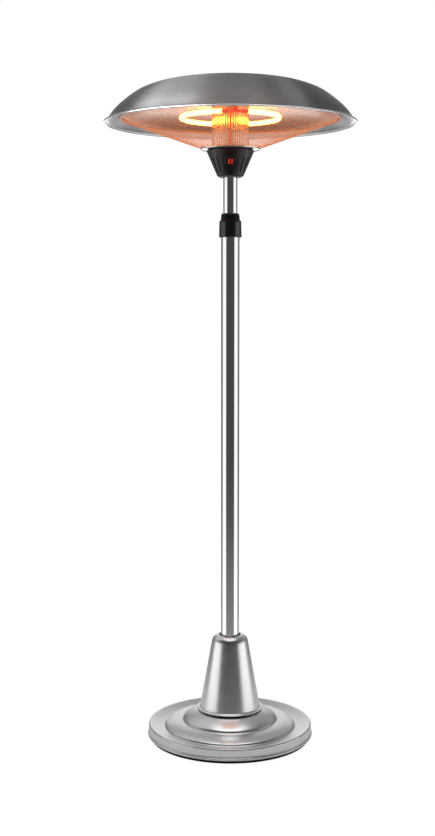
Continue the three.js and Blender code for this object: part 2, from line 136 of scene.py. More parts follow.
def lathe(name, outline, segs=160, crease=48.0, wave=None):
    """Turns a closed outline (r, z in mm) about Z, with smooth normals that keep its flats flat.
    wave(angle, r, z) may move a point in or out along its radius."""
    pts = []
    for p in outline:
        if not pts or math.dist(p, pts[-1]) > 1e-4:
            pts.append(tuple(p[:2]))
    if math.dist(pts[0], pts[-1]) < 1e-4:
        pts.pop()
    n = len(pts)
    area = sum(pts[i][0] * pts[(i + 1) % n][1] - pts[(i + 1) % n][0] * pts[i][1] for i in range(n))
    side = 1.0 if area > 0 else -1.0
    seg_n, seg_l = [], []
    for i in range(n):
        a, b = pts[i], pts[(i + 1) % n]
        d = Vector((b[0] - a[0], b[1] - a[1]))
        seg_l.append(max(d.length, 1e-9))
        d.normalize()
        seg_n.append(Vector((d.y, -d.x)) * side)
    vert_n = []
    for i in range(n):
        n0, n1 = seg_n[i - 1], seg_n[i]
        if pts[i][0] < 1e-6:
            vert_n.append(Vector((0, 1 if n0.y + n1.y > 0 else -1)))
        elif n0.angle(n1, 0) > math.radians(crease):
            vert_n.append(None)
        else:
            vert_n.append((n0 * seg_l[i - 1] + n1 * seg_l[i]).normalized())
    verts, index = [], {}
    for i, (r, z) in enumerate(pts):
        if r < 1e-6:
            index[i] = [len(verts)] * segs
            verts.append((0, 0, z * MM))
        else:
            row = []
            for j in range(segs):
                a = TAU * j / segs
                rr = r + (wave(a, r, z) if wave else 0.0)
                row.append(len(verts))
                verts.append((rr * MM * math.cos(a), rr * MM * math.sin(a), z * MM))
            index[i] = row
    faces, normals = [], []
    for i in range(n):
        k = (i + 1) % n
        if pts[i][0] < 1e-6 and pts[k][0] < 1e-6:
            continue
        na = vert_n[i] or seg_n[i]
        nb = vert_n[k] or seg_n[i]
        for j in range(segs):
            j2 = (j + 1) % segs
            c0, s0 = math.cos(TAU * j / segs), math.sin(TAU * j / segs)
            c1, s1 = math.cos(TAU * j2 / segs), math.sin(TAU * j2 / segs)
            ring = [(index[i][j], na, c0, s0), (index[k][j], nb, c0, s0), (index[k][j2], nb, c1, s1), (index[i][j2], na, c1, s1)]
            if side > 0:
                ring.reverse()
            face, loops = [], []
            for v, nn, c, s in ring:
                if v in face:
                    continue
                face.append(v)
                loops.append((nn.x * c, nn.x * s, nn.y))
            faces.append(face)
            normals.extend(loops)
    return new_object(name, verts, faces, None if wave else normals, sharp=35 if wave else None)


def tube(name, points, radius, sides=12, closed=False, normals=None):
    """A round tube through 3-D points (metres). radius may be a list."""
    n = len(points)
    P = [Vector(p) for p in points]
    T = []
    for i in range(n):
        a = P[i - 1] if (closed or i) else P[i]
        b = P[(i + 1) % n] if (closed or i < n - 1) else P[i]
        T.append((b - a).normalized())
    up = None
    verts, faces = [], []
    for i in range(n):
        t = T[i]
        if normals is not None:
            up = Vector(normals[i])
        elif up is None:
            up = Vector((0, 0, 1)) if abs(t.z) < 0.9 else Vector((1, 0, 0))
        u = (up - t * up.dot(t)).normalized()
        w = t.cross(u)
        up = u
        r = radius[i] if isinstance(radius, (list, tuple)) else radius
        for k in range(sides):
            a = TAU * k / sides
            verts.append(P[i] + u * (r * math.cos(a)) + w * (r * math.sin(a)))
    for i in range(n if closed else n - 1):
        m = (i + 1) % n
        for k in range(sides):
            q = (k + 1) % sides
            faces.append((i * sides + k, i * sides + q, m * sides + q, m * sides + k))
    if not closed:
        faces.append(tuple(range(sides))[::-1])
        faces.append(tuple((n - 1) * sides + k for k in range(sides)))
    return new_object(name, verts, faces, sharp=60)


def prism(name, outline, depth, bevel=0.0, bevel_segs=2, matrix=None, sharp=35):
    """Extrudes a closed 2-D outline (metres) along +Z by depth, with bevelled edges."""
    bm = bmesh.new()
    bottom = [bm.verts.new((x, y, 0)) for x, y in outline]
    face = bm.faces.new(bottom)
    ext = bmesh.ops.extrude_face_region(bm, geom=[face])
    top = [v for v in ext["geom"] if isinstance(v, bmesh.types.BMVert)]
    bmesh.ops.translate(bm, verts=top, vec=(0, 0, depth))
    bmesh.ops.recalc_face_normals(bm, faces=bm.faces)
    if bevel > 0:
        edges = [e for e in bm.edges if e.calc_face_angle(0) > math.radians(25)]
        bmesh.ops.bevel(bm, geom=edges, offset=bevel, segments=bevel_segs, profile=0.5, affect="EDGES", clamp_overlap=True)
    if matrix is not None:
        bm.transform(matrix)
    me = bpy.data.meshes.new(name)
    bm.to_mesh(me)
    bm.free()
    me.polygons.foreach_set("use_smooth", [True] * len(me.polygons))
    me.set_sharp_from_angle(angle=math.radians(sharp))
    ob = bpy.data.objects.new(name, me)
    bpy.context.scene.collection.objects.link(ob)
    return ob


def round_rect(w, h, r, n=5):
    out = []
    for cx, cy, a0 in ((w / 2 - r, h / 2 - r, 0), (-w / 2 + r, h / 2 - r, 90), (-w / 2 + r, -h / 2 + r, 180), (w / 2 - r, -h / 2 + r, 270)):
        for k in range(n + 1):
            a = math.radians(a0 + 90 * k / n)
            out.append((cx + r * math.cos(a), cy + r * math.sin(a)))
    return out


def apply_boolean(ob, cutter, operation="DIFFERENCE"):
    mod = ob.modifiers.new("cut", "BOOLEAN")
    mod.operation = operation
    mod.solver = "EXACT"
    mod.object = cutter
    bpy.context.view_layer.update()
    deps = bpy.context.evaluated_depsgraph_get()
    me = bpy.data.meshes.new_from_object(ob.evaluated_get(deps))
    ob.modifiers.clear()
    old = ob.data
    ob.data = me
    bpy.data.meshes.remove(old)
    bpy.data.objects.remove(cutter, do_unlink=True)
    ob.data.set_sharp_from_angle(angle=math.radians(35))
    return ob


def join(name, objects):
    bm = bmesh.new()
    for o in objects:
        me = o.data.copy()
        me.transform(o.matrix_world)
        bm.from_mesh(me)
        bpy.data.meshes.remove(me)
        bpy.data.objects.remove(o, do_unlink=True)
    me = bpy.data.meshes.new(name)
    bm.to_mesh(me)
    bm.free()
    me.polygons.foreach_set("use_smooth", [True] * len(me.polygons))
    me.set_sharp_from_angle(angle=math.radians(35))
    ob = bpy.data.objects.new(name, me)
    bpy.context.scene.collection.objects.link(ob)
    return ob


def around(r, deg, z):
    """A point at radius r and height z (mm), deg from the front towards +X."""
    a = math.radians(deg)
    return Vector((r * math.sin(a) * MM, -r * math.cos(a) * MM, z * MM))


# ------------------------------------------------------------------ materials
class Mat:
    """A small wrapper round a node tree with one Principled shader."""

    def __init__(self, name):
        self.m = bpy.data.materials.new(name)
        self.m.use_nodes = True
        self.t = self.m.node_tree
        self.t.nodes.clear()
        self.out = self.t.nodes.new("ShaderNodeOutputMaterial")
        self.p = self.t.nodes.new("ShaderNodeBsdfPrincipled")
        self.t.links.new(self.p.outputs[0], self.out.inputs[0])
        self.coord = None

    def node(self, kind, **values):
        n = self.t.nodes.new(kind)
        for k, v in values.items():
            setattr(n, k, v)
        return n

    def link(self, a, b):
        self.t.links.new(a, b)
        return b

    def object_coord(self):
        if self.coord is None:
            self.coord = self.node("ShaderNodeTexCoord").outputs["Object"]
        return self.coord

    def scaled(self, scale):
        m = self.node("ShaderNodeMapping")
        m.inputs["Scale"].default_value = scale
        self.link(self.object_coord(), m.inputs["Vector"])
        return m.outputs[0]

    def math(self, op, a, b=None):
        n = self.node("ShaderNodeMath", operation=op)
        for i, v in enumerate((a, b)):
            if v is None:
                continue
            if isinstance(v, (int, float)):
                n.inputs[i].default_value = v
            else:
                self.link(v, n.inputs[i])
        return n.outputs[0]

    def polar(self, kr, kz, ka):
        """Coordinates (radius, height, angle) about Z, each scaled, for marks left by turning."""
        sep = self.node("ShaderNodeSeparateXYZ")
        self.link(self.object_coord(), sep.inputs[0])
        x, y, z = sep.outputs
        r = self.math("SQRT", self.math("ADD", self.math("MULTIPLY", x, x), self.math("MULTIPLY", y, y)))
        a = self.math("ARCTAN2", y, x)
        comb = self.node("ShaderNodeCombineXYZ")
        self.link(self.math("MULTIPLY", r, kr), comb.inputs[0])
        self.link(self.math("MULTIPLY", z, kz), comb.inputs[1])
        self.link(self.math("MULTIPLY", a, ka), comb.inputs[2])
        return comb.outputs[0]

    def noise(self, vector, scale, detail=3.0, rough=0.55):
        n = self.node("ShaderNodeTexNoise")
        n.inputs["Scale"].default_value = scale
        n.inputs["Detail"].default_value = detail
        n.inputs["Roughness"].default_value = rough
        self.link(vector, n.inputs["Vector"])
        return n.outputs[0]

    def remap(self, value, lo, hi, from_lo=0.3, from_hi=0.7):
        n = self.node("ShaderNodeMapRange")
        n.inputs["From Min"].default_value = from_lo
        n.inputs["From Max"].default_value = from_hi
        n.inputs["To Min"].default_value = lo
        n.inputs["To Max"].default_value = hi
        self.link(value, n.inputs["Value"])
        return n.outputs[0]

    def blend(self, fac, a, b):
        n = self.node("ShaderNodeMix", data_type="RGBA")
        for sock, v in (("A", a), ("B", b)):
            s = [i for i in n.inputs if i.name == sock and i.type == "RGBA"][0]
            if isinstance(v, tuple):
                s.default_value = (*v, 1)
            else:
                self.link(v, s)
        f = [i for i in n.inputs if i.name == "Factor" and i.type == "VALUE"][0]
        if isinstance(fac, (int, float)):
            f.default_value = fac
        else:
            self.link(fac, f)
        return [o for o in n.outputs if o.type == "RGBA"][0]

    def bump(self, height, strength, distance):
        n = self.node("ShaderNodeBump")
        n.inputs["Strength"].default_value = strength
        n.inputs["Distance"].default_value = distance
        self.link(height, n.inputs["Height"])
        self.link(n.outputs[0], self.p.inputs["Normal"])

    def set(self, **values):
        names = {"metallic": "Metallic", "ior": "IOR", "coat": "Coat Weight", "coat_rough": "Coat Roughness", "aniso": "Anisotropic",
                 "aniso_rot": "Anisotropic Rotation", "specular": "Specular IOR Level", "emit": "Emission Strength",
                 "transmission": "Transmission Weight", "alpha": "Alpha", "rough": "Roughness", "sss": "Subsurface Weight"}
        for k, v in values.items():
            self.p.inputs[names[k]].default_value = v
        return self


def mix3(c, k):
    return tuple(max(0.0, min(1.0, x * k)) for x in c)


def cast(name, color, rough, metallic=0.0, tone=0.08, rough_var=0.08, scale=40.0, grain=900.0, grain_bump=0.15, grain_size=0.00008, stretch=(1, 1, 1), **extra):
    """Plain moulded, painted, cast or rolled stuff: slow tone changes, uneven gloss and a fine grain."""
    m = Mat(name)
    m.set(metallic=metallic, **extra)
    slow = m.noise(m.scaled(stretch), scale, 4.0, 0.6)
    fine = m.noise(m.scaled(stretch), grain, 2.0, 0.6)
    m.link(m.blend(m.remap(slow, 0, 1), mix3(color, 1 - tone), mix3(color, 1 + tone)), m.p.inputs["Base Color"])
    m.link(m.remap(m.math("ADD", m.math("MULTIPLY", slow, 0.6), m.math("MULTIPLY", fine, 0.4)), rough - rough_var, rough + rough_var), m.p.inputs["Roughness"])
    if grain_bump:
        m.bump(fine, grain_bump, grain_size)
    return m.m


def turned(name, color, rough, tone=0.05, rough_var=0.05, lines=2600.0, line_bump=0.12, around_k=0.6, aniso=0.0, aniso_rot=0.0, slow_scale=6.0, metallic=1.0, **extra):
    """Spun or turned metal: fine lines that run round the axis, slow tone changes and faint smudges."""
    m = Mat(name)
    m.set(metallic=metallic, aniso=aniso, aniso_rot=aniso_rot, **extra)
    lines_n = m.noise(m.polar(1.0, 1.0, around_k * 0.001), lines, 2.0, 0.7)
    slow = m.noise(m.object_coord(), slow_scale, 3.0, 0.55)
    smudge = m.noise(m.object_coord(), 55.0, 5.0, 0.6)
    c = m.blend(m.remap(lines_n, 0, 1), mix3(color, 1 - tone), mix3(color, 1 + tone))
    c = m.blend(m.remap(slow, 0.0, 0.35), c, mix3(color, 1 - tone * 1.5))
    m.link(c, m.p.inputs["Base Color"])
    mixed = m.math("ADD", m.math("MULTIPLY", lines_n, 0.55), m.math("MULTIPLY", smudge, 0.45))
    m.link(m.remap(mixed, rough - rough_var, rough + rough_var), m.p.inputs["Roughness"])
    if line_bump:
        m.bump(lines_n, line_bump, 0.00005)
    if aniso:
        t = m.node("ShaderNodeTangent", direction_type="RADIAL", axis="Z")
        m.link(t.outputs[0], m.p.inputs["Tangent"])
    return m.m


M_DOME = turned("spun_dome", (0.20, 0.197, 0.197), 0.40, tone=0.06, aniso=0.92, aniso_rot=0.25, line_bump=0.08)
M_DOME_IN = turned("dome_inside", (0.99, 0.995, 1.0), 0.30, tone=0.02, line_bump=0.04)
M_BEAD = turned("rim_bead", (0.84, 0.84, 0.85), 0.16, tone=0.02, rough_var=0.03)
M_CHROME = turned("chrome_tube", (0.80, 0.80, 0.81), 0.065, tone=0.012, rough_var=0.02, line_bump=0.0)
M_CONE = turned("silver_cone", (0.92, 0.925, 0.94), 0.30, tone=0.03, rough_var=0.04, line_bump=0.05)
M_BASE = cast("silver_base", (0.84, 0.84, 0.845), 0.29, metallic=1.0, tone=0.02, rough_var=0.03, scale=9.0, grain=2600.0, grain_bump=0.04, grain_size=0.00003)
M_PAN = turned("polished_pan", (0.90, 0.88, 0.86), 0.26, tone=0.03, rough_var=0.04, line_bump=0.10, metallic=0.75)
# painted reflection: the column's orange colour stands in for the lamp's glow on its polished metal
M_COLUMN = cast("polished_column", (1.0, 0.57, 0.28), 0.20, metallic=1.0, tone=0.03, rough_var=0.04, scale=50, stretch=(1, 1, 0.15), grain_bump=0.05)
# painted lamp light: the guard wire's warm brown colour stands in for the lamp's orange light on its steel
M_WIRE = cast("guard_wire", (0.38, 0.27, 0.20), 0.36, metallic=0.5, tone=0.06, scale=60)
M_STEEL = turned("satin_steel", (0.78, 0.78, 0.79), 0.20, tone=0.03)
# painted lamp light: the guard ring's orange-brown colour stands in for the lamp's light on its steel
M_RING = turned("guard_ring_steel", (0.34, 0.20, 0.14), 0.40, tone=0.05, metallic=0.6)
M_ZINC = cast("zinc_plate", (0.62, 0.63, 0.64), 0.32, metallic=1.0, tone=0.10, scale=120)
M_GLOSS = cast("black_gloss", (0.012, 0.012, 0.013), 0.16, tone=0.10, rough_var=0.04, scale=25, grain=1400, grain_bump=0.03, coat=0.3, coat_rough=0.08)
M_HUB = cast("hub_black", (0.004, 0.004, 0.0045), 0.21, specular=0.62, tone=0.10, rough_var=0.05, scale=20, grain=2200, grain_bump=0.05, grain_size=0.00004)
M_GREY = cast("grey_cap", (0.16, 0.165, 0.17), 0.42, tone=0.08)
M_RUBBER = cast("foot_rubber", (0.006, 0.006, 0.006), 0.72, specular=0.25, tone=0.15, grain=700, grain_bump=0.25)
M_NYLON = cast("white_nylon", (0.78, 0.76, 0.70), 0.45, tone=0.05, sss=0.05)
M_DARKSTEEL = cast("dark_steel", (0.045, 0.046, 0.05), 0.42, metallic=0.6, tone=0.15, scale=30)
M_BALLAST = cast("cast_ballast", (0.30, 0.29, 0.275), 0.9, tone=0.25, scale=45, grain=260, grain_bump=0.6, grain_size=0.0006)
M_BOARD = cast("board_green", (0.012, 0.10, 0.035), 0.4, tone=0.2, scale=200)
M_RELAY = cast("relay_blue", (0.015, 0.06, 0.28), 0.35, tone=0.1)
M_LEAD = cast("lead_sleeve", (0.80, 0.77, 0.70), 0.85, tone=0.15, scale=900, grain=2500, grain_bump=0.5, grain_size=0.0002)
M_CLIP = cast("clip_steel", (0.42, 0.20, 0.11), 0.34, metallic=1.0, tone=0.2, scale=150)
M_CERAMIC = cast("ceramic_red", (0.36, 0.045, 0.02), 0.6, tone=0.25, scale=160)
# painted shade and lamp light: the seam's dark red colour stands in for shade in the joint, tinted by the lamp
M_SEAM = cast("seam_strip", (0.20, 0.035, 0.02), 0.5, tone=0.25, scale=160)
# painted glow: the ceramic caps and holder, the guard wires, the column seam and the guard ring get a faint orange-red
# emission that stands in for the lamp's light on them; none of them is a lamp
for _m, _color, _strength in ((M_CERAMIC, (1.0, 0.03, 0.005, 1), 0.75), (M_WIRE, (1.0, 0.31, 0.11, 1), 0.31), (M_SEAM, (1.0, 0.04, 0.006, 1), 0.45), (M_RING, (1.0, 0.22, 0.07, 1), 0.12)):
    for _n in _m.node_tree.nodes:
        if _n.type == "BSDF_PRINCIPLED":
            _n.inputs["Emission Color"].default_value = _color
            _n.inputs["Emission Strength"].default_value = _strength


def paint_lamp_glow(material, z_low, z_high, color):
    """The column's colour is painted orange near the lamp, a painted reflection of the lamp's glow on the metal; lower
    down it keeps its own bright colour.
    """
    t = material.node_tree
    p = [n for n in t.nodes if n.type == "BSDF_PRINCIPLED"][0]
    painted_glow = p.inputs["Base Color"].links[0].from_socket
    coord, sep = t.nodes.new("ShaderNodeTexCoord"), t.nodes.new("ShaderNodeSeparateXYZ")
    t.links.new(coord.outputs["Object"], sep.inputs[0])
    up = t.nodes.new("ShaderNodeMapRange")
    up.interpolation_type = "SMOOTHSTEP"
    up.inputs["From Min"].default_value = z_low
    up.inputs["From Max"].default_value = z_high
    t.links.new(sep.outputs["Z"], up.inputs["Value"])
    mix = t.nodes.new("ShaderNodeMix")
    mix.data_type = "RGBA"
    t.links.new(up.outputs[0], mix.inputs[0])
    a, b = [i for i in mix.inputs if i.type == "RGBA"]
    a.default_value = (*color, 1)
    t.links.new(painted_glow, b)
    t.links.new([o for o in mix.outputs if o.type == "RGBA"][0], p.inputs["Base Color"])


# painted reflection: the column is tinted orange near the lamp for the lamp's glow, and stays near white lower down
paint_lamp_glow(M_COLUMN, 1.448, 1.486, (1.0, 0.96, 0.92))


def paint_lamp_falloff(material, r_in, r_out, color):
    """The pan keeps its polished colour round the lamp, and its colour darkens and browns toward its edge: painted
    shade for the lamp's light falling off.
    """
    t = material.node_tree
    p = [n for n in t.nodes if n.type == "BSDF_PRINCIPLED"][0]
    polished = p.inputs["Base Color"].links[0].from_socket
    coord, flat = t.nodes.new("ShaderNodeTexCoord"), t.nodes.new("ShaderNodeVectorMath")
    flat.operation = "MULTIPLY"
    flat.inputs[1].default_value = (1, 1, 0)
    t.links.new(coord.outputs["Object"], flat.inputs[0])
    radius = t.nodes.new("ShaderNodeVectorMath")
    radius.operation = "LENGTH"
    t.links.new(flat.outputs["Vector"], radius.inputs[0])
    out = t.nodes.new("ShaderNodeMapRange")
    out.interpolation_type = "SMOOTHSTEP"
    out.inputs["From Min"].default_value = r_in
    out.inputs["From Max"].default_value = r_out
    t.links.new(radius.outputs["Value"], out.inputs["Value"])
    mix = t.nodes.new("ShaderNodeMix")
    mix.data_type = "RGBA"
    t.links.new(out.outputs[0], mix.inputs[0])
    a, b = [i for i in mix.inputs if i.type == "RGBA"]
    t.links.new(polished, a)
    b.default_value = (*color, 1)
    t.links.new([o for o in mix.outputs if o.type == "RGBA"][0], p.inputs["Base Color"])


# painted shade: the pan's outer edge is darkened for the lamp's light falling off away from it
paint_lamp_falloff(M_PAN, 0.192, 0.240, (0.24, 0.20, 0.18))


def glow(name, color, strength, spread=0.12, scale=300.0):
    m = Mat(name)
    m.set(rough=0.3)
    n = m.noise(m.object_coord(), scale, 2.0)
    m.link(m.blend(m.remap(n, 0, 1), mix3(color, 1 - spread), mix3(color, 1 + spread)), m.p.inputs["Emission Color"])
    m.p.inputs["Base Color"].default_value = (*mix3(color, 0.6), 1)
    m.p.inputs["Emission Strength"].default_value = strength
    return m.m


M_FILAMENT = glow("filament", (1.0, 0.31, 0.045), 76.0)
M_DIGIT = glow("led_red", (1.0, 0.04, 0.008), 1.25, spread=0.08)


def quartz():
    """Clear quartz lit from inside: it glows, and its rim shines."""
    m = Mat("lamp_quartz")
    t = m.t
    t.nodes.remove(m.p)
    clear = m.node("ShaderNodeBsdfTransparent")
    clear.inputs[0].default_value = (1.0, 0.93, 0.82, 1)
    shine = m.node("ShaderNodeBsdfGlossy")
    shine.inputs["Roughness"].default_value = 0.05
    emit = m.node("ShaderNodeEmission")
    n = m.noise(m.scaled((1, 1, 1)), 160.0, 2.0)
    m.link(m.blend(m.remap(n, 0, 1), (1.0, 0.32, 0.06), (1.0, 0.37, 0.08)), emit.inputs["Color"])
    emit.inputs["Strength"].default_value = 5.5
    fres = m.node("ShaderNodeLayerWeight")
    fres.inputs["Blend"].default_value = 0.25
    a = m.node("ShaderNodeMixShader")
    m.link(fres.outputs["Facing"], a.inputs[0])
    m.link(clear.outputs[0], a.inputs[1])
    m.link(shine.outputs[0], a.inputs[2])
    b = m.node("ShaderNodeAddShader")
    m.link(a.outputs[0], b.inputs[0])
    m.link(emit.outputs[0], b.inputs[1])
    m.link(b.outputs[0], m.out.inputs[0])
    return m.m


M_QUARTZ = quartz()


def smoked():
    m = Mat("display_glass")
    m.set(rough=0.06, coat=0.5, coat_rough=0.03)
    n = m.noise(m.object_coord(), 90.0, 3.0)
    m.link(m.blend(m.remap(n, 0, 1), (0.004, 0.004, 0.005), (0.009, 0.008, 0.009)), m.p.inputs["Base Color"])
    m.link(m.remap(n, 0.04, 0.10), m.p.inputs["Roughness"])
    return m.m


M_WINDOW = smoked()


def dress(ob, material, body=None, node=None):
    ob.data.materials.clear()
    ob.data.materials.append(material)
    if body:
        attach(ob, body)
    if node:
        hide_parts(*([node] if isinstance(node, str) else node))
    return ob


# ------------------------------------------------------------------ base
BASE = [(58, 70.9), (66, 70.9), (74, 70.7), (78.5, 70.0), (84, 68.2), (90, 65.6), (97, 61.9), (104, 57.6), (109.5, 53.6), (113.2, 50.4), (114.7, 48.6),
        (115.5, 46.6), (116.3, 45.2), (118, 44.6), (121, 44.5), (128, 44.0), (137, 42.4), (146, 39.7), (153, 36.9), (157.6, 34.4), (159.2, 32.9), (159.9, 31.2),
        (160.6, 30.1), (162.2, 29.6), (165, 29.8), (171, 30.8), (180, 32.9), (189, 35.2), (194.5, 36.5), (197.3, 36.7), (199.0, 35.9), (200.0, 34.3),
        (200.3, 32.0), (200.35, 26), (200.3, 19.5), (200.0, 17.2), (199.3, 15.9), (199.2, 15.0), (199.9, 14.3), (201.4, 13.8), (202.3, 12.9), (202.7, 11.5),
        (202.4, 10.1), (201.4, 9.0), (200.0, 8.3), (199.4, 7.7)]
dress(lathe("base_cover_skin", sheet(spline(BASE, 3), 1.4), 200), M_BASE, "stand", "base_cover")

foot = rounded([(181, 0, 1.2), (194.2, 0, 1.4), (195.8, 3.0, 1.0), (195.8, 6.0, 0.5), (181, 6.0, 0.5)])
dress(lathe("foot_ring_skin", foot, 160), M_RUBBER, "stand", "base_foot_ring")

plate = [(12, 6.3)] + [(r, 6.3 + (0.7 if 60 < r < 66 or 110 < r < 116 or 158 < r < 164 else 0.0)) for r in
                       (58, 61, 65, 68, 108, 111, 115, 118, 156, 159, 163, 166, 196.4)] + [(196.6, 6.6), (196.6, 8.1), (12, 8.1)]
dress(lathe("bottom_plate_skin", plate, 120), M_DARKSTEEL, "stand", "base_bottom_plate")

CONE = [(26.0, 254.9), (26.3, 256.0), (27.6, 256.75), (30.6, 256.5), (34.2, 255.3), (38.2, 252.4), (41.3, 248.8), (43.2, 244.6), (44.35, 240),
        (45.6, 233.8), (48.8, 216), (56, 175.4), (64, 130.4), (69, 102.2), (72.2, 84.6), (72.9, 80.6), (73.5, 78.2), (74.9, 77.0), (77.2, 76.5),
        (79.3, 76.0), (80.6, 75.2), (80.75, 74.1), (80.0, 73.6)]
dress(lathe("cone_cover_skin", sheet(spline(CONE, 3), 1.3), 160), M_CONE, "cone_cover", "cone_cover")

socket = rounded([(12, 62.3), (54, 62.3, 0.8), (54, 68.3, 1.0), (29, 68.3, 3.0), (25.8, 73, 1.0), (25.8, 150, 0.6), (22.5, 150, 0.3), (22.5, 70.3), (12, 70.3)])
dress(lathe("pole_socket_skin", socket, 96), M_DARKSTEEL, "stand", "pole_socket")


def hex_bolt(name, x, y, z_seat, shank, length, across, height):
    """Hex bolt with a washer face and a chamfered head, standing on z_seat."""
    pts = [(across / math.cos(math.radians(30)) / 2 * math.cos(math.radians(60 * k)), across / math.cos(math.radians(30)) / 2 * math.sin(math.radians(60 * k))) for k in range(6)]
    head = prism(name + "_head", [(px * MM, py * MM) for px, py in pts], (height - 0.6) * MM, bevel=0.5 * MM, matrix=Matrix.Translation((x * MM, y * MM, (z_seat + 0.6) * MM)))
    body = lathe(name + "_body", rounded([(0, z_seat - length), (shank * 0.8, z_seat - length), (shank, z_seat - length + 1.5, 0.3), (shank, z_seat, 0.0),
                                          (across / 2 + 0.2, z_seat, 0.2), (across / 2 + 0.2, z_seat + 0.7, 0.2), (0, z_seat + 0.7)]), 32)
    body.data.transform(Matrix.Translation((x * MM, y * MM, 0)))
    return join(name, [head, body])


for i in range(4):
    a = math.radians(45 + 90 * i)
    b = hex_bolt(f"socket_bolt_{i + 1}_skin", 40 * math.sin(a), -40 * math.cos(a), 68.6, 4.0, 28.0, 13.0, 5.4)
    dress(b, M_ZINC, "stand", f"socket_bolt_{i + 1}")

# ------------------------------------------------------------------ poles and lock
for name, r, t, z0, z1, body in (("lower_pole", 22.2, 1.5, 70.6, 1262, "stand"), ("upper_pole", 17.0, 1.5, 700, 1396, "mast")):
    o = rounded([(r - t, z0, 0.3), (r, z0, 0.4), (r, z1, 0.4), (r - t, z1, 0.3)])
    dress(lathe(name + "_skin", o, 144), M_CHROME, body, name)

collar = rounded([(22.5, 1226), (24.6, 1226, 0.3), (24.6, 1262.6, 0.6), (23.2, 1263.2, 0.5), (21.7, 1277.2, 2.0), (20.0, 1280, 0.8), (17.5, 1280, 0.5),
                  (17.5, 1262.4), (22.5, 1262.4)])
dress(lathe("pole_end_collar_skin", collar, 112), M_GLOSS, "stand", "pole_end_collar")
sleeve = rounded([(24.9, 1223.2, 0.3), (26.2, 1223.2, 1.0), (27.2, 1224.8, 1.3), (27.05, 1231, 6), (26.3, 1259.5, 1.4), (25.9, 1262.6, 0.9), (24.9, 1263.0, 0.3)])


def sleeve_grip(a, r, z):
    """Shallow grip flutes on the twist sleeve's lower half."""
    if r < 26.0:
        return 0.0
    k = math.cos(a * 40)
    up = max(0.0, min(1.0, (1246 - z) / 8.0)) * max(0.0, min(1.0, (z - 1226.5) / 3.0))
    return -0.35 * up * max(0.0, k) ** 2


dress(lathe("lock_sleeve_skin", sleeve, 120), M_GLOSS, "lock_sleeve", "lock_sleeve")

# ------------------------------------------------------------------ hub
HZ0, HR0, HZS, HRS = 1366.4, 30.8, 1423.5, 55.6
HTILT = math.atan((HRS - HR0) / (HZS - HZ0))


def hub_r(z):
    return HR0 + (z - HZ0) * math.tan(HTILT)


def on_front(z, out):
    return Matrix.Translation((0, -(hub_r(z) + out) * MM, z * MM)) @ Matrix.Rotation(HTILT, 4, "X")


def on_back(z, out):
    return Matrix.Translation((0, (hub_r(z) + out) * MM, z * MM)) @ Matrix.Rotation(-HTILT, 4, "X")


def smooth_step(x):
    x = max(0.0, min(1.0, x))
    return x * x * (3 - 2 * x)


def hub_shell():
    """The moulded housing: rounded shoulder, tapered face with long recesses all round, and pockets for the display and the switch."""
    outer = spline([(15, 1430.2), (50.2, 1430.2), (53.0, 1429.75), (55.2, 1428.5), (56.25, 1426.4), (56.2, 1424.6), (HRS, HZS)], 4)
    slant = (HZS - HZ0 - 1.2) / math.cos(HTILT)
    rows = []
    k = 0
    n_rows = 84
    for k in range(1, n_rows + 1):
        z = HZS - (HZS - (HZ0 + 1.2)) * k / n_rows
        rows.append((hub_r(z), z))
    edge = [(HR0 - 0.1, HZ0 + 0.5), (HR0 - 0.8, HZ0), (HR0 - 2.3, HZ0)]
    inner = [(28.3, HZ0 + 0.4), (28.3, 1369.2), (hub_r(1423) - 2.7, 1423), (52.0, 1426.8), (49.5, 1427.8), (15, 1427.8)]
    prof = outer + rows + edge + inner
    first, last = len(outer), len(outer) + len(rows)
    sectors, per = 18, 26
    # column angles, evenly spaced, 26 to each 20 degree sector
    half = 2.55   # half width of a recess, mm, at mid height
    cols = []
    for s in range(sectors):
        for c in range(per):
            cols.append((s * 20.0) + 20.0 * c / per)
    verts, faces = [], []
    m = len(prof)

    def depth(theta, r, z):
        # theta in degrees from the front
        th = (theta + 180) % 360 - 180
        v = (z - HZ0) / math.cos(HTILT)
        # display pocket and switch pocket
        for centre, w, h, zc, d in ((0.0, 10.75, 12.65, 1396.5, 2.4), (180.0, 8.0, 11.0, 1397.0, 2.6)):
            dth = (th - centre + 180) % 360 - 180
            x = r * math.sin(math.radians(dth))
            y = (z - zc) / math.cos(HTILT)
            if abs(dth) < 60:
                q = max(abs(x) - w, abs(y) - h)
                if q < 0.35:
                    return d * smooth_step((0.35 - q) / 0.7)
        near = round(th / 20.0) * 20.0
        if abs(near) < 10 or abs(abs(near) - 180) < 10:
            return 0.0
        x = r * math.radians(th - near)
        y0, y1 = 9.5, 46.5
        w = 1.75 + 1.15 * (v / slant)
        yy = min(max(v, y0 + w), y1 - w)
        q = math.hypot(x, v - yy) - w
        return 2.6 * smooth_step((0.5 - q) / 1.8)

    for j, deg in enumerate(cols):
        a = math.radians(deg)
        ca, sa = math.sin(a), -math.cos(a)
        for i, (r, z) in enumerate(prof):
            dr = dz = 0.0
            if first <= i < last:
                d = depth(deg, r, z)
                dr, dz = -d * math.cos(HTILT), d * math.sin(HTILT)
            verts.append(((r + dr) * ca * MM, (r + dr) * sa * MM, (z + dz) * MM))
    n = len(cols)
    for j in range(n):
        j2 = (j + 1) % n
        for i in range(m):
            i2 = (i + 1) % m
            faces.append((j * m + i, j * m + i2, j2 * m + i2, j2 * m + i))
    ob = new_object("hub_housing_skin", verts, faces, sharp=50)
    bm = bmesh.new()
    bm.from_mesh(ob.data)
    bmesh.ops.recalc_face_normals(bm, faces=bm.faces)
    bm.to_mesh(ob.data)
    bm.free()
    ob.data.set_sharp_from_angle(angle=math.radians(50))
    return ob


dress(hub_shell(), M_HUB, "mast", "hub_housing")

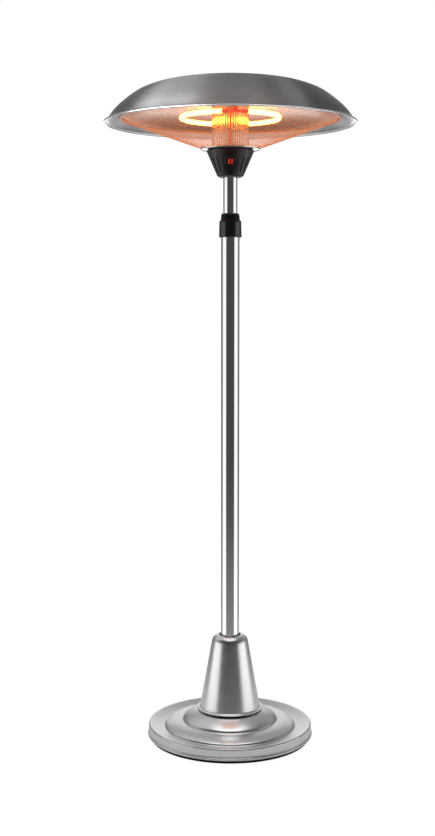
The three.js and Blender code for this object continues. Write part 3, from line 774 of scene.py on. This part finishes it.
cap = rounded([(17.4, 1364.6, 0.3), (19.2, 1364.6, 0.5), (19.8, 1365.4, 0.4), (22.5, 1365.4, 0.4), (23.2, 1364.6, 0.4), (27.0, 1364.6, 0.8), (27.6, 1365.6, 0.3),
               (27.6, 1368.6), (20.6, 1368.6), (20.6, 1398.4), (17.4, 1398.4)])
dress(lathe("hub_bottom_cap_skin", cap, 96), M_GREY, "mast", "hub_bottom_cap")

# display: a smoked window and two seven-segment figures
upright = Matrix.Rotation(math.radians(90), 4, "X")     # local XY outline stands up, and its depth points to -Y
win = prism("display_window_skin", [(x * MM, y * MM) for x, y in round_rect(20.6, 24.4, 2.0, 6)], 2.0 * MM, bevel=0.35 * MM, bevel_segs=3,
            matrix=on_front(1396.5, -0.3) @ Matrix.Translation((0, 2.0 * MM, 0)) @ upright)
dress(win, M_WINDOW, "mast", "display_window")


def figure(segments, x, y, w, h, t):
    """Outlines of the lit bars of one seven-segment figure, centred on x, y. Segments are a..g."""
    g = 0.35
    bars = {
        "a": ("h", 0, h / 2), "g": ("h", 0, 0), "d": ("h", 0, -h / 2),
        "f": ("v", -w / 2, h / 4), "b": ("v", w / 2, h / 4), "e": ("v", -w / 2, -h / 4), "c": ("v", w / 2, -h / 4)}
    out = []
    for s in segments:
        kind, cx, cy = bars[s]
        length = (w if kind == "h" else h / 2) - 2 * g
        q = t / 2
        pts = [(-length / 2, 0), (-length / 2 + q, q), (length / 2 - q, q), (length / 2, 0), (length / 2 - q, -q), (-length / 2 + q, -q)]
        if kind == "v":
            pts = [(-py, px) for px, py in pts]
        slant = math.tan(math.radians(6))
        out.append([((px + cx + slant * (py + cy)) + x, py + cy + y) for px, py in pts])
    return out


bars = []
for segs, cx in (("abcdef", -3.5), ("abcdef", 3.5)):
    bars += figure(segs, cx, 1.8, 2.6, 10.8, 1.0)
pieces = []
for i, bar in enumerate(bars):
    pieces.append(prism(f"bar_{i}", [(x * MM, y * MM) for x, y in bar], 0.25 * MM, matrix=on_front(1396.5, -0.3) @ Matrix.Translation((0, 0.12 * MM, 0)) @ upright))
dress(join("display_figures", pieces), M_DIGIT, "mast", None)

# rear switch marks: a bar and a ring on the rocker
tip = math.radians(6)
on_rocker = on_back(1397, 0.9) @ Matrix.Rotation(tip, 4, "X")
face_up = Matrix.Rotation(math.radians(-90), 4, "X")
bar = prism("rocker_bar", [(x * MM, y * MM) for x, y in round_rect(0.7, 3.0, 0.3, 3)], 0.5 * MM, matrix=on_rocker @ Matrix.Translation((0, 1.72 * MM, 3.9 * MM)) @ face_up)
ring_pts = [Vector((1.35 * math.cos(TAU * k / 32), 2.05, -3.9 + 1.35 * math.sin(TAU * k / 32))) * MM for k in range(32)]
ring = tube("rocker_ring", [on_rocker @ p for p in ring_pts], 0.3 * MM, 8, closed=True)
dress(join("rocker_marks", [bar, ring]), M_NYLON, "power_rocker", None)

# ------------------------------------------------------------------ head: plate, column, pan
plate_o = rounded([(30, 1430.6), (62, 1430.6, 1.0), (69.2, 1430.6, 0.8), (70.0, 1429.0, 0.5), (72.0, 1429.0, 0.7), (72.0, 1432.2, 0.7), (62, 1432.2), (30, 1432.2)], 20)
dress(lathe("hub_plate_skin", plate_o, 176), M_STEEL, "mast", "hub_plate")

N_FLUTE = 54


def flutes(a, r, z):
    if r < 43.5:
        return 0.0
    fade = min(1.0, (z - 1432.6) / 2.0, (1530.6 - z) / 2.0)
    w = -0.62 * abs(math.sin(a * N_FLUTE / 2)) * max(0.0, fade)
    return w


col = [(42.8, 1432.6), (44.0, 1432.6)] + [(44.0, 1432.6 + 98 * k / 24) for k in range(1, 24)] + [(44.0, 1530.6), (42.8, 1530.6)]
dress(lathe("centre_column_skin", col, N_FLUTE * 10, wave=flutes), M_COLUMN, "mast", "centre_column")
# the raised seam is real; its dark red colour and faint glow are painted shade and painted lamp light
seam = prism("column_seam", [(x * MM, y * MM) for x, y in round_rect(4.2, 97.4, 1.0, 3)], 0.7 * MM, bevel=0.2 * MM,
             matrix=Matrix.Translation((0, -43.2 * MM, 1481.6 * MM)) @ upright)
dress(seam, M_SEAM, "mast", None)

PAN = [(9, 1531), (40, 1531), (70, 1531), (96, 1530.9), (120, 1530.3), (142, 1529.3), (160, 1527.5), (178, 1524.5), (195, 1520.4), (215, 1513.4), (236, 1505.7),
       (241, 1504.3), (246, 1503.4), (254, 1503.1), (262, 1503)]
pan_lower = spline(PAN, 4)
pan_outline = pan_lower + [(262, 1504.2)] + [(r, z + 1.2) for r, z in pan_lower[::-1]]
dress(lathe("reflector_pan_skin", pan_outline, 192), M_PAN, "mast", "reflector_pan")

# ------------------------------------------------------------------ dome
DOME = [(0, 1596), (50, 1594.4), (100, 1590.3), (150, 1583.4), (180, 1577.2), (200, 1570.7), (222, 1561.1), (240, 1549.1), (254, 1538.2), (265, 1528.9),
        (279, 1514.2), (285.2, 1505.7), (288.4, 1501.6), (291.0, 1498.3), (293.6, 1495.9), (296.0, 1494.3), (297.2, 1493.2)]
dome_curve = spline(DOME, 5)
bead_r, bead_c = 2.1, (298.4, 1490.9)
bead = [(bead_c[0] + bead_r * math.cos(math.radians(a)), bead_c[1] + bead_r * math.sin(math.radians(a))) for a in range(98, -171, -12)]
inner = sheet(dome_curve, 1.2)[len(dome_curve):]
inner = [q for q in inner if q[0] < 294.6]
dome = lathe("dome_shell_skin", dome_curve + bead + inner, 256)
dress(dome, M_DOME, "mast", "dome_shell")
# the rolled rim is bright metal, and the underside is the sheet's brighter, unbrushed face
dome.data.materials.append(M_DOME_IN)
dome.data.materials.append(M_BEAD)
for poly in dome.data.polygons:
    c, nrm = poly.center, poly.normal
    radial = Vector((c.x, c.y, 0))
    if math.hypot(radial.length / MM - bead_c[0], c.z / MM - bead_c[1]) < bead_r + 0.05:
        poly.material_index = 2
    elif nrm.z < -0.05 or (radial.length > 1e-6 and nrm.dot(radial.normalized()) < -0.2):
        poly.material_index = 1


def pan_head(name, x, y, z_seat, r, h, shank, length, down=False, material=None):
    """Cross-recessed pan-head screw standing on z_seat, pointing down unless down is set."""
    s = -1 if down else 1
    prof = [(0, 0 - length), (shank, -length), (shank, 0), (r, 0), (r, h * 0.35), (r * 0.86, h * 0.78), (r * 0.5, h), (0, h)]
    prof = rounded([(a, b, 0.25) if 0 < a else (a, b) for a, b in prof], 30)
    body = lathe(name, [(a, b) for a, b in prof], 40)
    c1 = prism(name + "_c1", [(px * MM, py * MM) for px, py in round_rect(r * 1.15, r * 0.22, r * 0.08, 2)], 4 * MM, matrix=Matrix.Translation((0, 0, h * 0.45 * MM)))
    c2 = prism(name + "_c2", [(px * MM, py * MM) for px, py in round_rect(r * 0.22, r * 1.15, r * 0.08, 2)], 4 * MM, matrix=Matrix.Translation((0, 0, h * 0.45 * MM)))
    apply_boolean(body, c1)
    apply_boolean(body, c2)
    m = Matrix.Translation((x * MM, y * MM, z_seat * MM)) @ Matrix.Rotation(0.6 + x, 4, "Z")
    if down:
        m = Matrix.Translation((x * MM, y * MM, z_seat * MM)) @ Matrix.Rotation(math.pi, 4, "X") @ Matrix.Rotation(0.6 + x, 4, "Z")
    body.data.transform(m)
    return body


for i in range(3):
    a = math.radians(60 + 120 * i)
    x, y = 120 * math.sin(a), -120 * math.cos(a)
    dress(pan_head(f"dome_screw_{i + 1}_skin", x, y, 1588.4, 5.0, 3.0, 1.9, 26.0), M_ZINC, "mast", f"dome_screw_{i + 1}")
for i in range(4):
    a = math.radians(45 + 90 * i)
    x, y = 260.2 * math.sin(a), -260.2 * math.cos(a)
    dress(pan_head(f"guard_screw_{i + 1}_skin", x, y, 1498.7, 3.0, 2.0, 1.5, 8.0, down=True), M_ZINC, "mast", f"guard_screw_{i + 1}")

# ------------------------------------------------------------------ mesh guard
ring_o = rounded([(256.6, 1499.2, 0.7), (262.6, 1498.8, 1.0), (264, 1500.6, 1.0), (264, 1502.7, 0.5), (256.6, 1502.7, 0.5)], 25)
dress(lathe("guard_ring_skin", ring_o, 192), M_RING, "mast", "guard_ring")

G_R0, G_Z0, G_R1, G_Z1 = 72.9, 1433.55, 256.1, 1499.8
G_A = math.atan((G_Z1 - G_Z0) / (G_R1 - G_R0))
CA, SA = math.cos(G_A), math.sin(G_A)


def on_cone(px, py, lift):
    """A point of the flat pattern (mm) rolled up into the cone. The joint of the pattern is at the back."""
    s = math.hypot(px, py)
    phi = math.atan2(px, -py)                   # 0 at the front
    th = phi / CA
    r = s * CA
    z = G_Z0 + (r - G_R0) * math.tan(G_A)
    nrm = Vector((math.sin(th) * SA, -math.cos(th) * SA, -CA))
    p = Vector((r * math.sin(th), -r * math.cos(th), z)) + nrm * lift
    return p * MM, nrm


def guard_wires(pitch=5.2, wire=0.25, lift=0.5, direction=45.0):
    s0, s1 = G_R0 / CA, G_R1 / CA
    limit = math.pi * CA
    verts, faces = [], []
    sides = 4
    n_lines = int(s1 / pitch) + 1
    for family in (0, 1):
        d = math.radians(direction + 90 * family)
        ux, uy = math.cos(d), math.sin(d)
        vx, vy = -uy, ux
        for k in range(-n_lines, n_lines + 1):
            run = []
            for j in range(-n_lines, n_lines + 2):
                px, py = ux * j * pitch + vx * (k + 0.0) * pitch, uy * j * pitch + vy * (k + 0.0) * pitch
                s = math.hypot(px, py)
                ok = s0 <= s <= s1 and abs(math.atan2(px, -py)) <= limit
                if ok:
                    parity = (j + k) % 2 == 0
                    up = lift if parity == (family == 0) else -lift
                    run.append(on_cone(px, py, up * 0.5))
                if (not ok or j == n_lines + 1) and run:
                    if len(run) > 1:
                        base = len(verts)
                        for i, (p, nrm) in enumerate(run):
                            a = run[max(i - 1, 0)][0]
                            b = run[min(i + 1, len(run) - 1)][0]
                            t = (b - a).normalized()
                            u = (nrm - t * nrm.dot(t)).normalized()
                            w = t.cross(u)
                            for q in range(sides):
                                ang = TAU * q / sides + math.pi / 4
                                verts.append(p + u * (wire * MM * math.cos(ang)) + w * (wire * MM * math.sin(ang)))
                        for i in range(len(run) - 1):
                            for q in range(sides):
                                q2 = (q + 1) % sides
                                faces.append((base + i * sides + q, base + i * sides + q2, base + (i + 1) * sides + q2, base + (i + 1) * sides + q))
                        faces.append(tuple(base + q for q in range(sides))[::-1])
                        faces.append(tuple(base + (len(run) - 1) * sides + q for q in range(sides)))
                    run = []
    return new_object("guard_wires", verts, faces, sharp=None)


guard = guard_wires()
hem = lathe("guard_hem", rounded([(72.4, 1433.0, 0.3), (74.6, 1433.0, 0.3), (74.8, 1434.8, 0.4), (72.4, 1434.3, 0.3)]), 144)
guard = join("guard_mesh_skin", [guard, hem])
dress(guard, M_WIRE, "mast", "guard_mesh")

# ------------------------------------------------------------------ ring lamp
L_R, L_Z = 116.0, 1504.0
A0, A1 = 20.2, 349.8
lamp_pts = [around(L_R, A0 + (A1 - A0) * k / 180, L_Z) for k in range(181)]
radii = [5.5 * MM] * 181
dress(tube("lamp_tube_skin", lamp_pts, radii, 20, normals=[(0, 0, 1)] * 181), M_QUARTZ, "mast", "lamp_tube")
coil = []
turns = 240
for k in range(turns * 8 + 1):
    t = k / (turns * 8)
    a = A0 + 1.5 + (A1 - A0 - 3.0) * t
    w = TAU * turns * t
    c = around(L_R, a, L_Z)
    out = Vector((math.sin(math.radians(a)), -math.cos(math.radians(a)), 0))
    coil.append(c + out * (2.1 * MM * math.cos(w)) + Vector((0, 0, 2.1 * MM * math.sin(w))))
dress(tube("lamp_filament", coil, 0.42 * MM, 4), M_FILAMENT, "mast", None)

for side, a_from, a_to in (("left", -10.0, -2.0), ("right", 12.0, 20.0)):
    n = 14
    pts, rr = [], []
    for k in range(n + 1):
        f = k / n
        pts.append(around(L_R, a_from + (a_to - a_from) * f, L_Z))
        edge = min(f, 1 - f) * 8
        rr.append((4.4 - 0.8 * (1 - min(1.0, edge)) ** 2 - (0.3 if k in (4, 5, 9, 10) else 0.0)) * MM)
    dress(tube(f"lamp_end_cap_{side}_skin", pts, rr, 24, normals=[(0, 0, 1)] * (n + 1)), M_CERAMIC, "mast", f"lamp_end_cap_{side}")


def clip(name, deg):
    ri, ro, opening = 5.9, 7.2, 46
    outline = []
    for a in range(opening, 361 - opening, 6):
        if abs(a - 180) < 10:
            if a == 180:
                outline += [(0.8, 7.1), (0.8, 25.7), (-0.8, 25.7), (-0.8, 7.1)]
            continue
        outline.append((ro * math.sin(math.radians(a)), -ro * math.cos(math.radians(a))))
    for a in range(360 - opening, opening - 1, -6):
        outline.append((ri * math.sin(math.radians(a)), -ri * math.cos(math.radians(a))))
    m = Matrix(((0, 0, 1, 0), (1, 0, 0, -L_R * MM), (0, 1, 0, L_Z * MM), (0, 0, 0, 1)))
    ob = prism(name, [(x * MM, y * MM) for x, y in outline], 7.6 * MM, bevel=0.18 * MM,
               matrix=Matrix.Rotation(math.radians(deg), 4, "Z") @ m @ Matrix.Translation((0, 0, -3.8 * MM)))
    return ob


for name, deg in (("left", -98), ("right", 82), ("rear", 185)):
    dress(clip(f"lamp_clip_{name}_skin", deg), M_CLIP, "mast", f"lamp_clip_{name}")


# the holder between the lamp's ends: a slim ceramic bar on a bent strap
turn5 = Matrix.Rotation(math.radians(5), 4, "Z")
holder = prism("holder_bar", [(x * MM, y * MM) for x, y in round_rect(24.4, 8.0, 1.2, 4)], 6.0 * MM, bevel=0.7 * MM, bevel_segs=3,
               matrix=turn5 @ Matrix.Translation((0, -L_R * MM, 1501.2 * MM)))
strap = prism("holder_strap", [(x * MM, y * MM) for x, y in ((-0.8, 1507.0), (0.8, 1507.0), (0.8, 1528.2), (8.0, 1528.2), (8.0, 1529.8), (-0.8, 1529.8))], 9.0 * MM, bevel=0.2 * MM,
              matrix=turn5 @ Matrix(((0, 0, 1, -4.5 * MM), (1, 0, 0, -L_R * MM), (0, 1, 0, 0), (0, 0, 0, 1))))
dress(join("lamp_holder_skin", [holder, strap]), M_CERAMIC, "mast", "lamp_holder")


def wire_route(points, r, n=8):
    out = [points[0]]
    for i in range(1, len(points) - 1):
        p, a, b = points[i], points[i - 1], points[i + 1]
        u, v = (a - p), (b - p)
        k = min(r, u.length * 0.45, v.length * 0.45)
        s, e = p + u.normalized() * k, p + v.normalized() * k
        for j in range(n + 1):
            t = j / n
            out.append(s * (1 - t) ** 2 + p * 2 * t * (1 - t) + e * t * t)
    out.append(points[-1])
    return out


for i, side in enumerate(("left", "right")):
    a = -6.0 if side == "left" else 16.0
    p = around(L_R, a, 0)
    px, py = p.x / MM, p.y / MM
    sx = 3.6 if i else -3.6
    ex, ey = (22, 6) if i else (19, -6)
    route = [Vector(q) * MM for q in ((px, py, L_Z + 7.0), (px, py, 1546), (sx, 0, 1546), (sx, 0, 1424), (ex, ey, 1424), (ex, ey, 1414.4))]
    dress(tube(f"lamp_lead_{side}_skin", wire_route(route, 7 * MM), 1.5 * MM, 12), M_LEAD, "mast", f"lamp_lead_{side}")

# ------------------------------------------------------------------ CAD pieces that stay, with finer edges and their own finish
KEEP = {
    "base_ballast": (M_BALLAST, 0.8), "cable_grommet": (M_RUBBER, 0.4), "socket_set_screw": (M_ZINC, 0.3), "lock_collet": (M_NYLON, 0.3),
    "upper_pole_bush": (M_NYLON, 0.3), "led_display": (M_WINDOW, 0.3), "control_board": (M_BOARD, 0.1), "power_board": (M_BOARD, 0.1),
    "relay": (M_RELAY, 0.5), "terminal_block": (M_NYLON, 0.4), "tip_over_switch": (M_GLOSS, 0.4), "switch_body": (M_HUB, 0.35), "power_rocker": (M_GLOSS, 0.45),
    "column_foot_plate": (M_ZINC, 0.3), "column_top_plate": (M_ZINC, 0.3), "column_screw_1": (M_ZINC, 0.2), "column_screw_2": (M_ZINC, 0.2),
    "column_screw_3": (M_ZINC, 0.2), "dome_spacer_1": (M_ZINC, 0.2), "dome_spacer_2": (M_ZINC, 0.2), "dome_spacer_3": (M_ZINC, 0.2)}
for name, (material, bevel) in KEEP.items():
    o = NODES[name]
    o.data.materials.clear()
    o.data.materials.append(material)
    o.data.polygons.foreach_set("use_smooth", [True] * len(o.data.polygons))
    o.data.set_sharp_from_angle(angle=math.radians(32))
    b = o.modifiers.new("edges", "BEVEL")
    b.width = bevel * MM
    b.segments = 2
    b.limit_method = "ANGLE"
    b.angle_limit = math.radians(40)
    b.harden_normals = False

# ------------------------------------------------------------------ floor, light, camera
FLOOR_R = 0.95
floor_mesh = bpy.data.meshes.new("floor")
floor_mesh.from_pydata([(FLOOR_R * math.cos(TAU * k / 96), FLOOR_R * math.sin(TAU * k / 96), 0) for k in range(96)], [], [tuple(range(96))])
floor = bpy.data.objects.new("floor", floor_mesh)
bpy.context.scene.collection.objects.link(floor)
fm = Mat("pale_floor")
fm.t.nodes.remove(fm.p)
fn = fm.noise(fm.object_coord(), 30.0, 3.0)
seen, other = fm.node("ShaderNodeBsdfDiffuse"), fm.node("ShaderNodeBsdfDiffuse")
fm.link(fm.blend(fm.remap(fn, 0, 1), (0.29, 0.29, 0.29), (0.31, 0.31, 0.31)), seen.inputs[0])
fm.link(fm.blend(fm.remap(fn, 0, 1), (0.74, 0.74, 0.74), (0.76, 0.76, 0.76)), other.inputs[0])
lift = fm.node("ShaderNodeEmission")
lift.inputs[1].default_value = 0.92
both = fm.node("ShaderNodeAddShader")
fm.link(seen.outputs[0], both.inputs[0])
fm.link(lift.outputs[0], both.inputs[1])
fill = fm.node("ShaderNodeEmission")
fill.inputs[1].default_value = 0.20
other_lit = fm.node("ShaderNodeAddShader")
fm.link(other.outputs[0], other_lit.inputs[0])
fm.link(fill.outputs[0], other_lit.inputs[1])
pick = fm.node("ShaderNodeMixShader")
fm.link(fm.node("ShaderNodeLightPath").outputs["Is Camera Ray"], pick.inputs[0])
fm.link(other_lit.outputs[0], pick.inputs[1])
fm.link(both.outputs[0], pick.inputs[2])
fm.link(pick.outputs[0], fm.out.inputs[0])
floor_mesh.materials.append(fm.m)

UPPER = 0.31
CARDS = [((0, -0.17, 0.985), 8, 30, 1.6), ((0, 0.94, 0.34), 10, 24, 0.28), ((0, 0.99, 0.05), 8, 22, 0.16), ((0, 0.98, -0.17), 7, 15, 1.1),
         ((-0.55, 0.3, 0.78), 12, 34, 0.25), ((0.72, 0.2, 0.66), 8, 26, -0.14)]
world = bpy.data.worlds.new("studio")
bpy.context.scene.world = world
world.use_nodes = True
wt = world.node_tree
wt.nodes.clear()


def wnode(kind, **kw):
    n = wt.nodes.new(kind)
    for k, v in kw.items():
        setattr(n, k, v)
    return n


w_out = wnode("ShaderNodeOutputWorld")
w_mix = wnode("ShaderNodeMixShader")
w_path = wnode("ShaderNodeLightPath")
w_white = wnode("ShaderNodeBackground")
w_white.inputs[0].default_value = (1, 1, 1, 1)
w_white.inputs[1].default_value = 1.05
w_env = wnode("ShaderNodeBackground")
w_coord = wnode("ShaderNodeTexCoord")
w_dir = w_coord.outputs["Generated"]
w_sep = wnode("ShaderNodeSeparateXYZ")
wt.links.new(w_dir, w_sep.inputs[0])


def w_math(op, a, b=None):
    n = wnode("ShaderNodeMath", operation=op)
    for i, v in enumerate((a, b)):
        if v is None:
            continue
        if isinstance(v, (int, float)):
            n.inputs[i].default_value = v
        else:
            wt.links.new(v, n.inputs[i])
    return n.outputs[0]


def w_ramp(value, lo, hi, stops):
    """Brightness against one number, as smooth steps between (number, brightness) pairs."""
    m = wnode("ShaderNodeMapRange")
    m.inputs["From Min"].default_value = lo
    m.inputs["From Max"].default_value = hi
    wt.links.new(value, m.inputs["Value"])
    r = wnode("ShaderNodeValToRGB")
    c = r.color_ramp
    c.interpolation = "EASE"
    while len(c.elements) > 1:
        c.elements.remove(c.elements[-1])
    for i, (pos, v) in enumerate(stops):
        k = (pos - lo) / (hi - lo)
        e = c.elements[0] if i == 0 else c.elements.new(k)
        e.position = k
        e.color = (v / 4, v / 4, v / 4, 1)
    wt.links.new(m.outputs[0], r.inputs[0])
    return w_math("MULTIPLY", r.outputs[0], 4.0)


def w_card(direction, inner, outer, value):
    """A round soft card of light in one direction, full within inner degrees and gone at outer."""
    d = wnode("ShaderNodeVectorMath", operation="DOT_PRODUCT")
    wt.links.new(w_dir, d.inputs[0])
    d.inputs[1].default_value = Vector(direction).normalized()
    m = wnode("ShaderNodeMapRange", interpolation_type="SMOOTHSTEP")
    m.inputs["From Min"].default_value = math.cos(math.radians(outer))
    m.inputs["From Max"].default_value = math.cos(math.radians(inner))
    m.inputs["To Max"].default_value = value
    wt.links.new(d.outputs["Value"], m.inputs["Value"])
    return m.outputs[0]


# a softly lit studio: dim in front, bright cards at both sides, grey behind and above
sides = w_ramp(w_sep.outputs["Y"], -1, 1, [(-1.0, 0.07), (-0.68, 0.075), (-0.61, 0.40), (-0.53, 1.22), (0.14, 1.22), (0.32, 0.45), (0.5, 0.2), (1.0, 0.17)])
height = w_ramp(w_sep.outputs["Z"], -1, 1, [(-1.0, 0.25), (-0.55, 0.35), (-0.4, 1.0), (0.08, 1.0), (0.20, 0.0), (1.0, 0.0)])
low = w_ramp(w_sep.outputs["Z"], -1, 1, [(-1.0, 0.05), (-0.5, 0.06), (-0.33, 0.24), (-0.26, 0.20), (-0.235, 0.13), (-0.16, 0.02), (-0.12, 0.0), (1.0, 0.0)])
upper = w_math("MULTIPLY", w_ramp(w_sep.outputs["Z"], -1, 1, [(-1.0, 0.0), (0.14, 0.0), (0.28, UPPER), (1.0, UPPER)]),
               w_ramp(w_sep.outputs["Y"], -1, 1, [(-1.0, 0.1), (-0.35, 0.15), (0.15, 1.0), (1.0, 1.0)]))
light_sum = w_math("ADD", w_math("ADD", w_math("MULTIPLY", sides, height), low), upper)
for card in CARDS:
    light_sum = w_math("ADD", light_sum, w_card(*card))
light_sum = w_math("MAXIMUM", light_sum, 0.02)
wt.links.new(light_sum, w_env.inputs[0])
w_env.inputs[1].default_value = 1.0
wt.links.new(w_path.outputs["Is Camera Ray"], w_mix.inputs[0])
wt.links.new(w_env.outputs[0], w_mix.inputs[1])
wt.links.new(w_white.outputs[0], w_mix.inputs[2])
wt.links.new(w_mix.outputs[0], w_out.inputs[0])


def area(name, place, target, size, size_y, power, color=(1, 1, 1)):
    light = bpy.data.lights.new(name, "AREA")
    light.shape = "RECTANGLE"
    light.size, light.size_y = size, size_y
    light.energy = power
    light.color = color
    ob = bpy.data.objects.new(name, light)
    bpy.context.scene.collection.objects.link(ob)
    ob.location = place
    ob.rotation_euler = (Vector(target) - Vector(place)).to_track_quat("-Z", "Y").to_euler()
    ob.visible_camera = False
    return ob


# soft cards round the head that light the dome only: a bright one to its left in two panels, and weak ones in front
only_dome = bpy.data.collections.new("lit_by_head_cards")
only_dome.objects.link(dome)
for card in (area("head_card_1", (-1.80, -0.10, 2.75), (0, 0, 1.53), 1.05, 1.5, 30), area("head_card_2", (-1.36, -1.08, 2.70), (0, 0, 1.53), 0.8, 1.5, 26),
             area("head_card_3", (-0.85, -1.50, 2.35), (0, 0, 1.53), 0.7, 0.9, 6.5), area("head_card_4", (1.00, -1.45, 2.35), (0, 0, 1.53), 1.1, 0.9, 7.0),
             area("lip_card", (0, 3.0, 1.30), (0, 0, 1.5), 3.2, 0.5, 3.0),
             area("head_card_5", (1.50, 0.52, 3.93), (0, 0, 1.53), 0.7, 0.7, 4.5)):
    card.light_linking.receiver_collection = only_dome

# a soft card behind that the silver foot alone sees
only_foot = bpy.data.collections.new("lit_by_foot_card")
for ob_name in ("base_cover_skin", "cone_cover_skin"):
    only_foot.objects.link(bpy.data.objects[ob_name])
area("foot_card", (0, 4.0, 0.80), (0, 0, 0.1), 3.4, 1.6, 4.2).light_linking.receiver_collection = only_foot

# the lamp lights the head and the poles, but not the silver foot nor the collar
far_below = bpy.data.collections.new("out_of_coil_light")
for ob_name in ("base_cover_skin", "cone_cover_skin", "foot_ring_skin", "floor", "pole_end_collar_skin", "lock_sleeve_skin"):
    far_below.objects.link(bpy.data.objects[ob_name])
for ob_name in ("lamp_filament", "lamp_tube_skin"):
    bpy.data.objects[ob_name].light_linking.receiver_collection = far_below
for item in far_below.collection_objects:
    item.light_linking.link_state = "EXCLUDE"

cam_data = bpy.data.cameras.new("camera")
cam_data.sensor_fit = "AUTO"
cam_data.sensor_width = 36.0
cam_data.sensor_height = 36.0
cam_data.lens = 55.07
cam_data.clip_start = 0.05
cam = bpy.data.objects.new("camera", cam_data)
bpy.context.scene.collection.objects.link(cam)
cam.location = (-0.0306, -3.0816, 1.0859)
cam.rotation_euler = (math.radians(90 - 5.481), 0, 0)
bpy.context.scene.camera = cam

scene = bpy.context.scene
scene.view_settings.view_transform = "Standard"
scene.view_settings.look = "None"
scene.cycles.max_bounces = 8
scene.cycles.diffuse_bounces = 3
scene.cycles.glossy_bounces = 5
scene.cycles.transparent_max_bounces = 24
scene.cycles.sample_clamp_indirect = 1.3
scene.cycles.use_denoising = True
scene.cycles.denoising_prefilter = "FAST"


# a little lens bloom round the lamp, as in the photograph
scene.use_nodes = True
ct = scene.node_tree
for n in list(ct.nodes):
    ct.nodes.remove(n)
layers = ct.nodes.new("CompositorNodeRLayers")
bloom = ct.nodes.new("CompositorNodeGlare")
bloom.glare_type = "BLOOM"
bloom.inputs["Threshold"].default_value = 2.0
bloom.inputs["Smoothness"].default_value = 0.3
bloom.inputs["Clamp"].default_value = True
bloom.inputs["Maximum"].default_value = 7.0
bloom.inputs["Strength"].default_value = 0.10
bloom.inputs["Saturation"].default_value = 1.0
bloom.inputs["Tint"].default_value = (1.0, 0.40, 0.13, 1)
bloom.inputs["Size"].default_value = 0.22
final = ct.nodes.new("CompositorNodeComposite")
ct.links.new(layers.outputs["Image"], bloom.inputs["Image"])
ct.links.new(bloom.outputs["Image"], final.inputs["Image"])
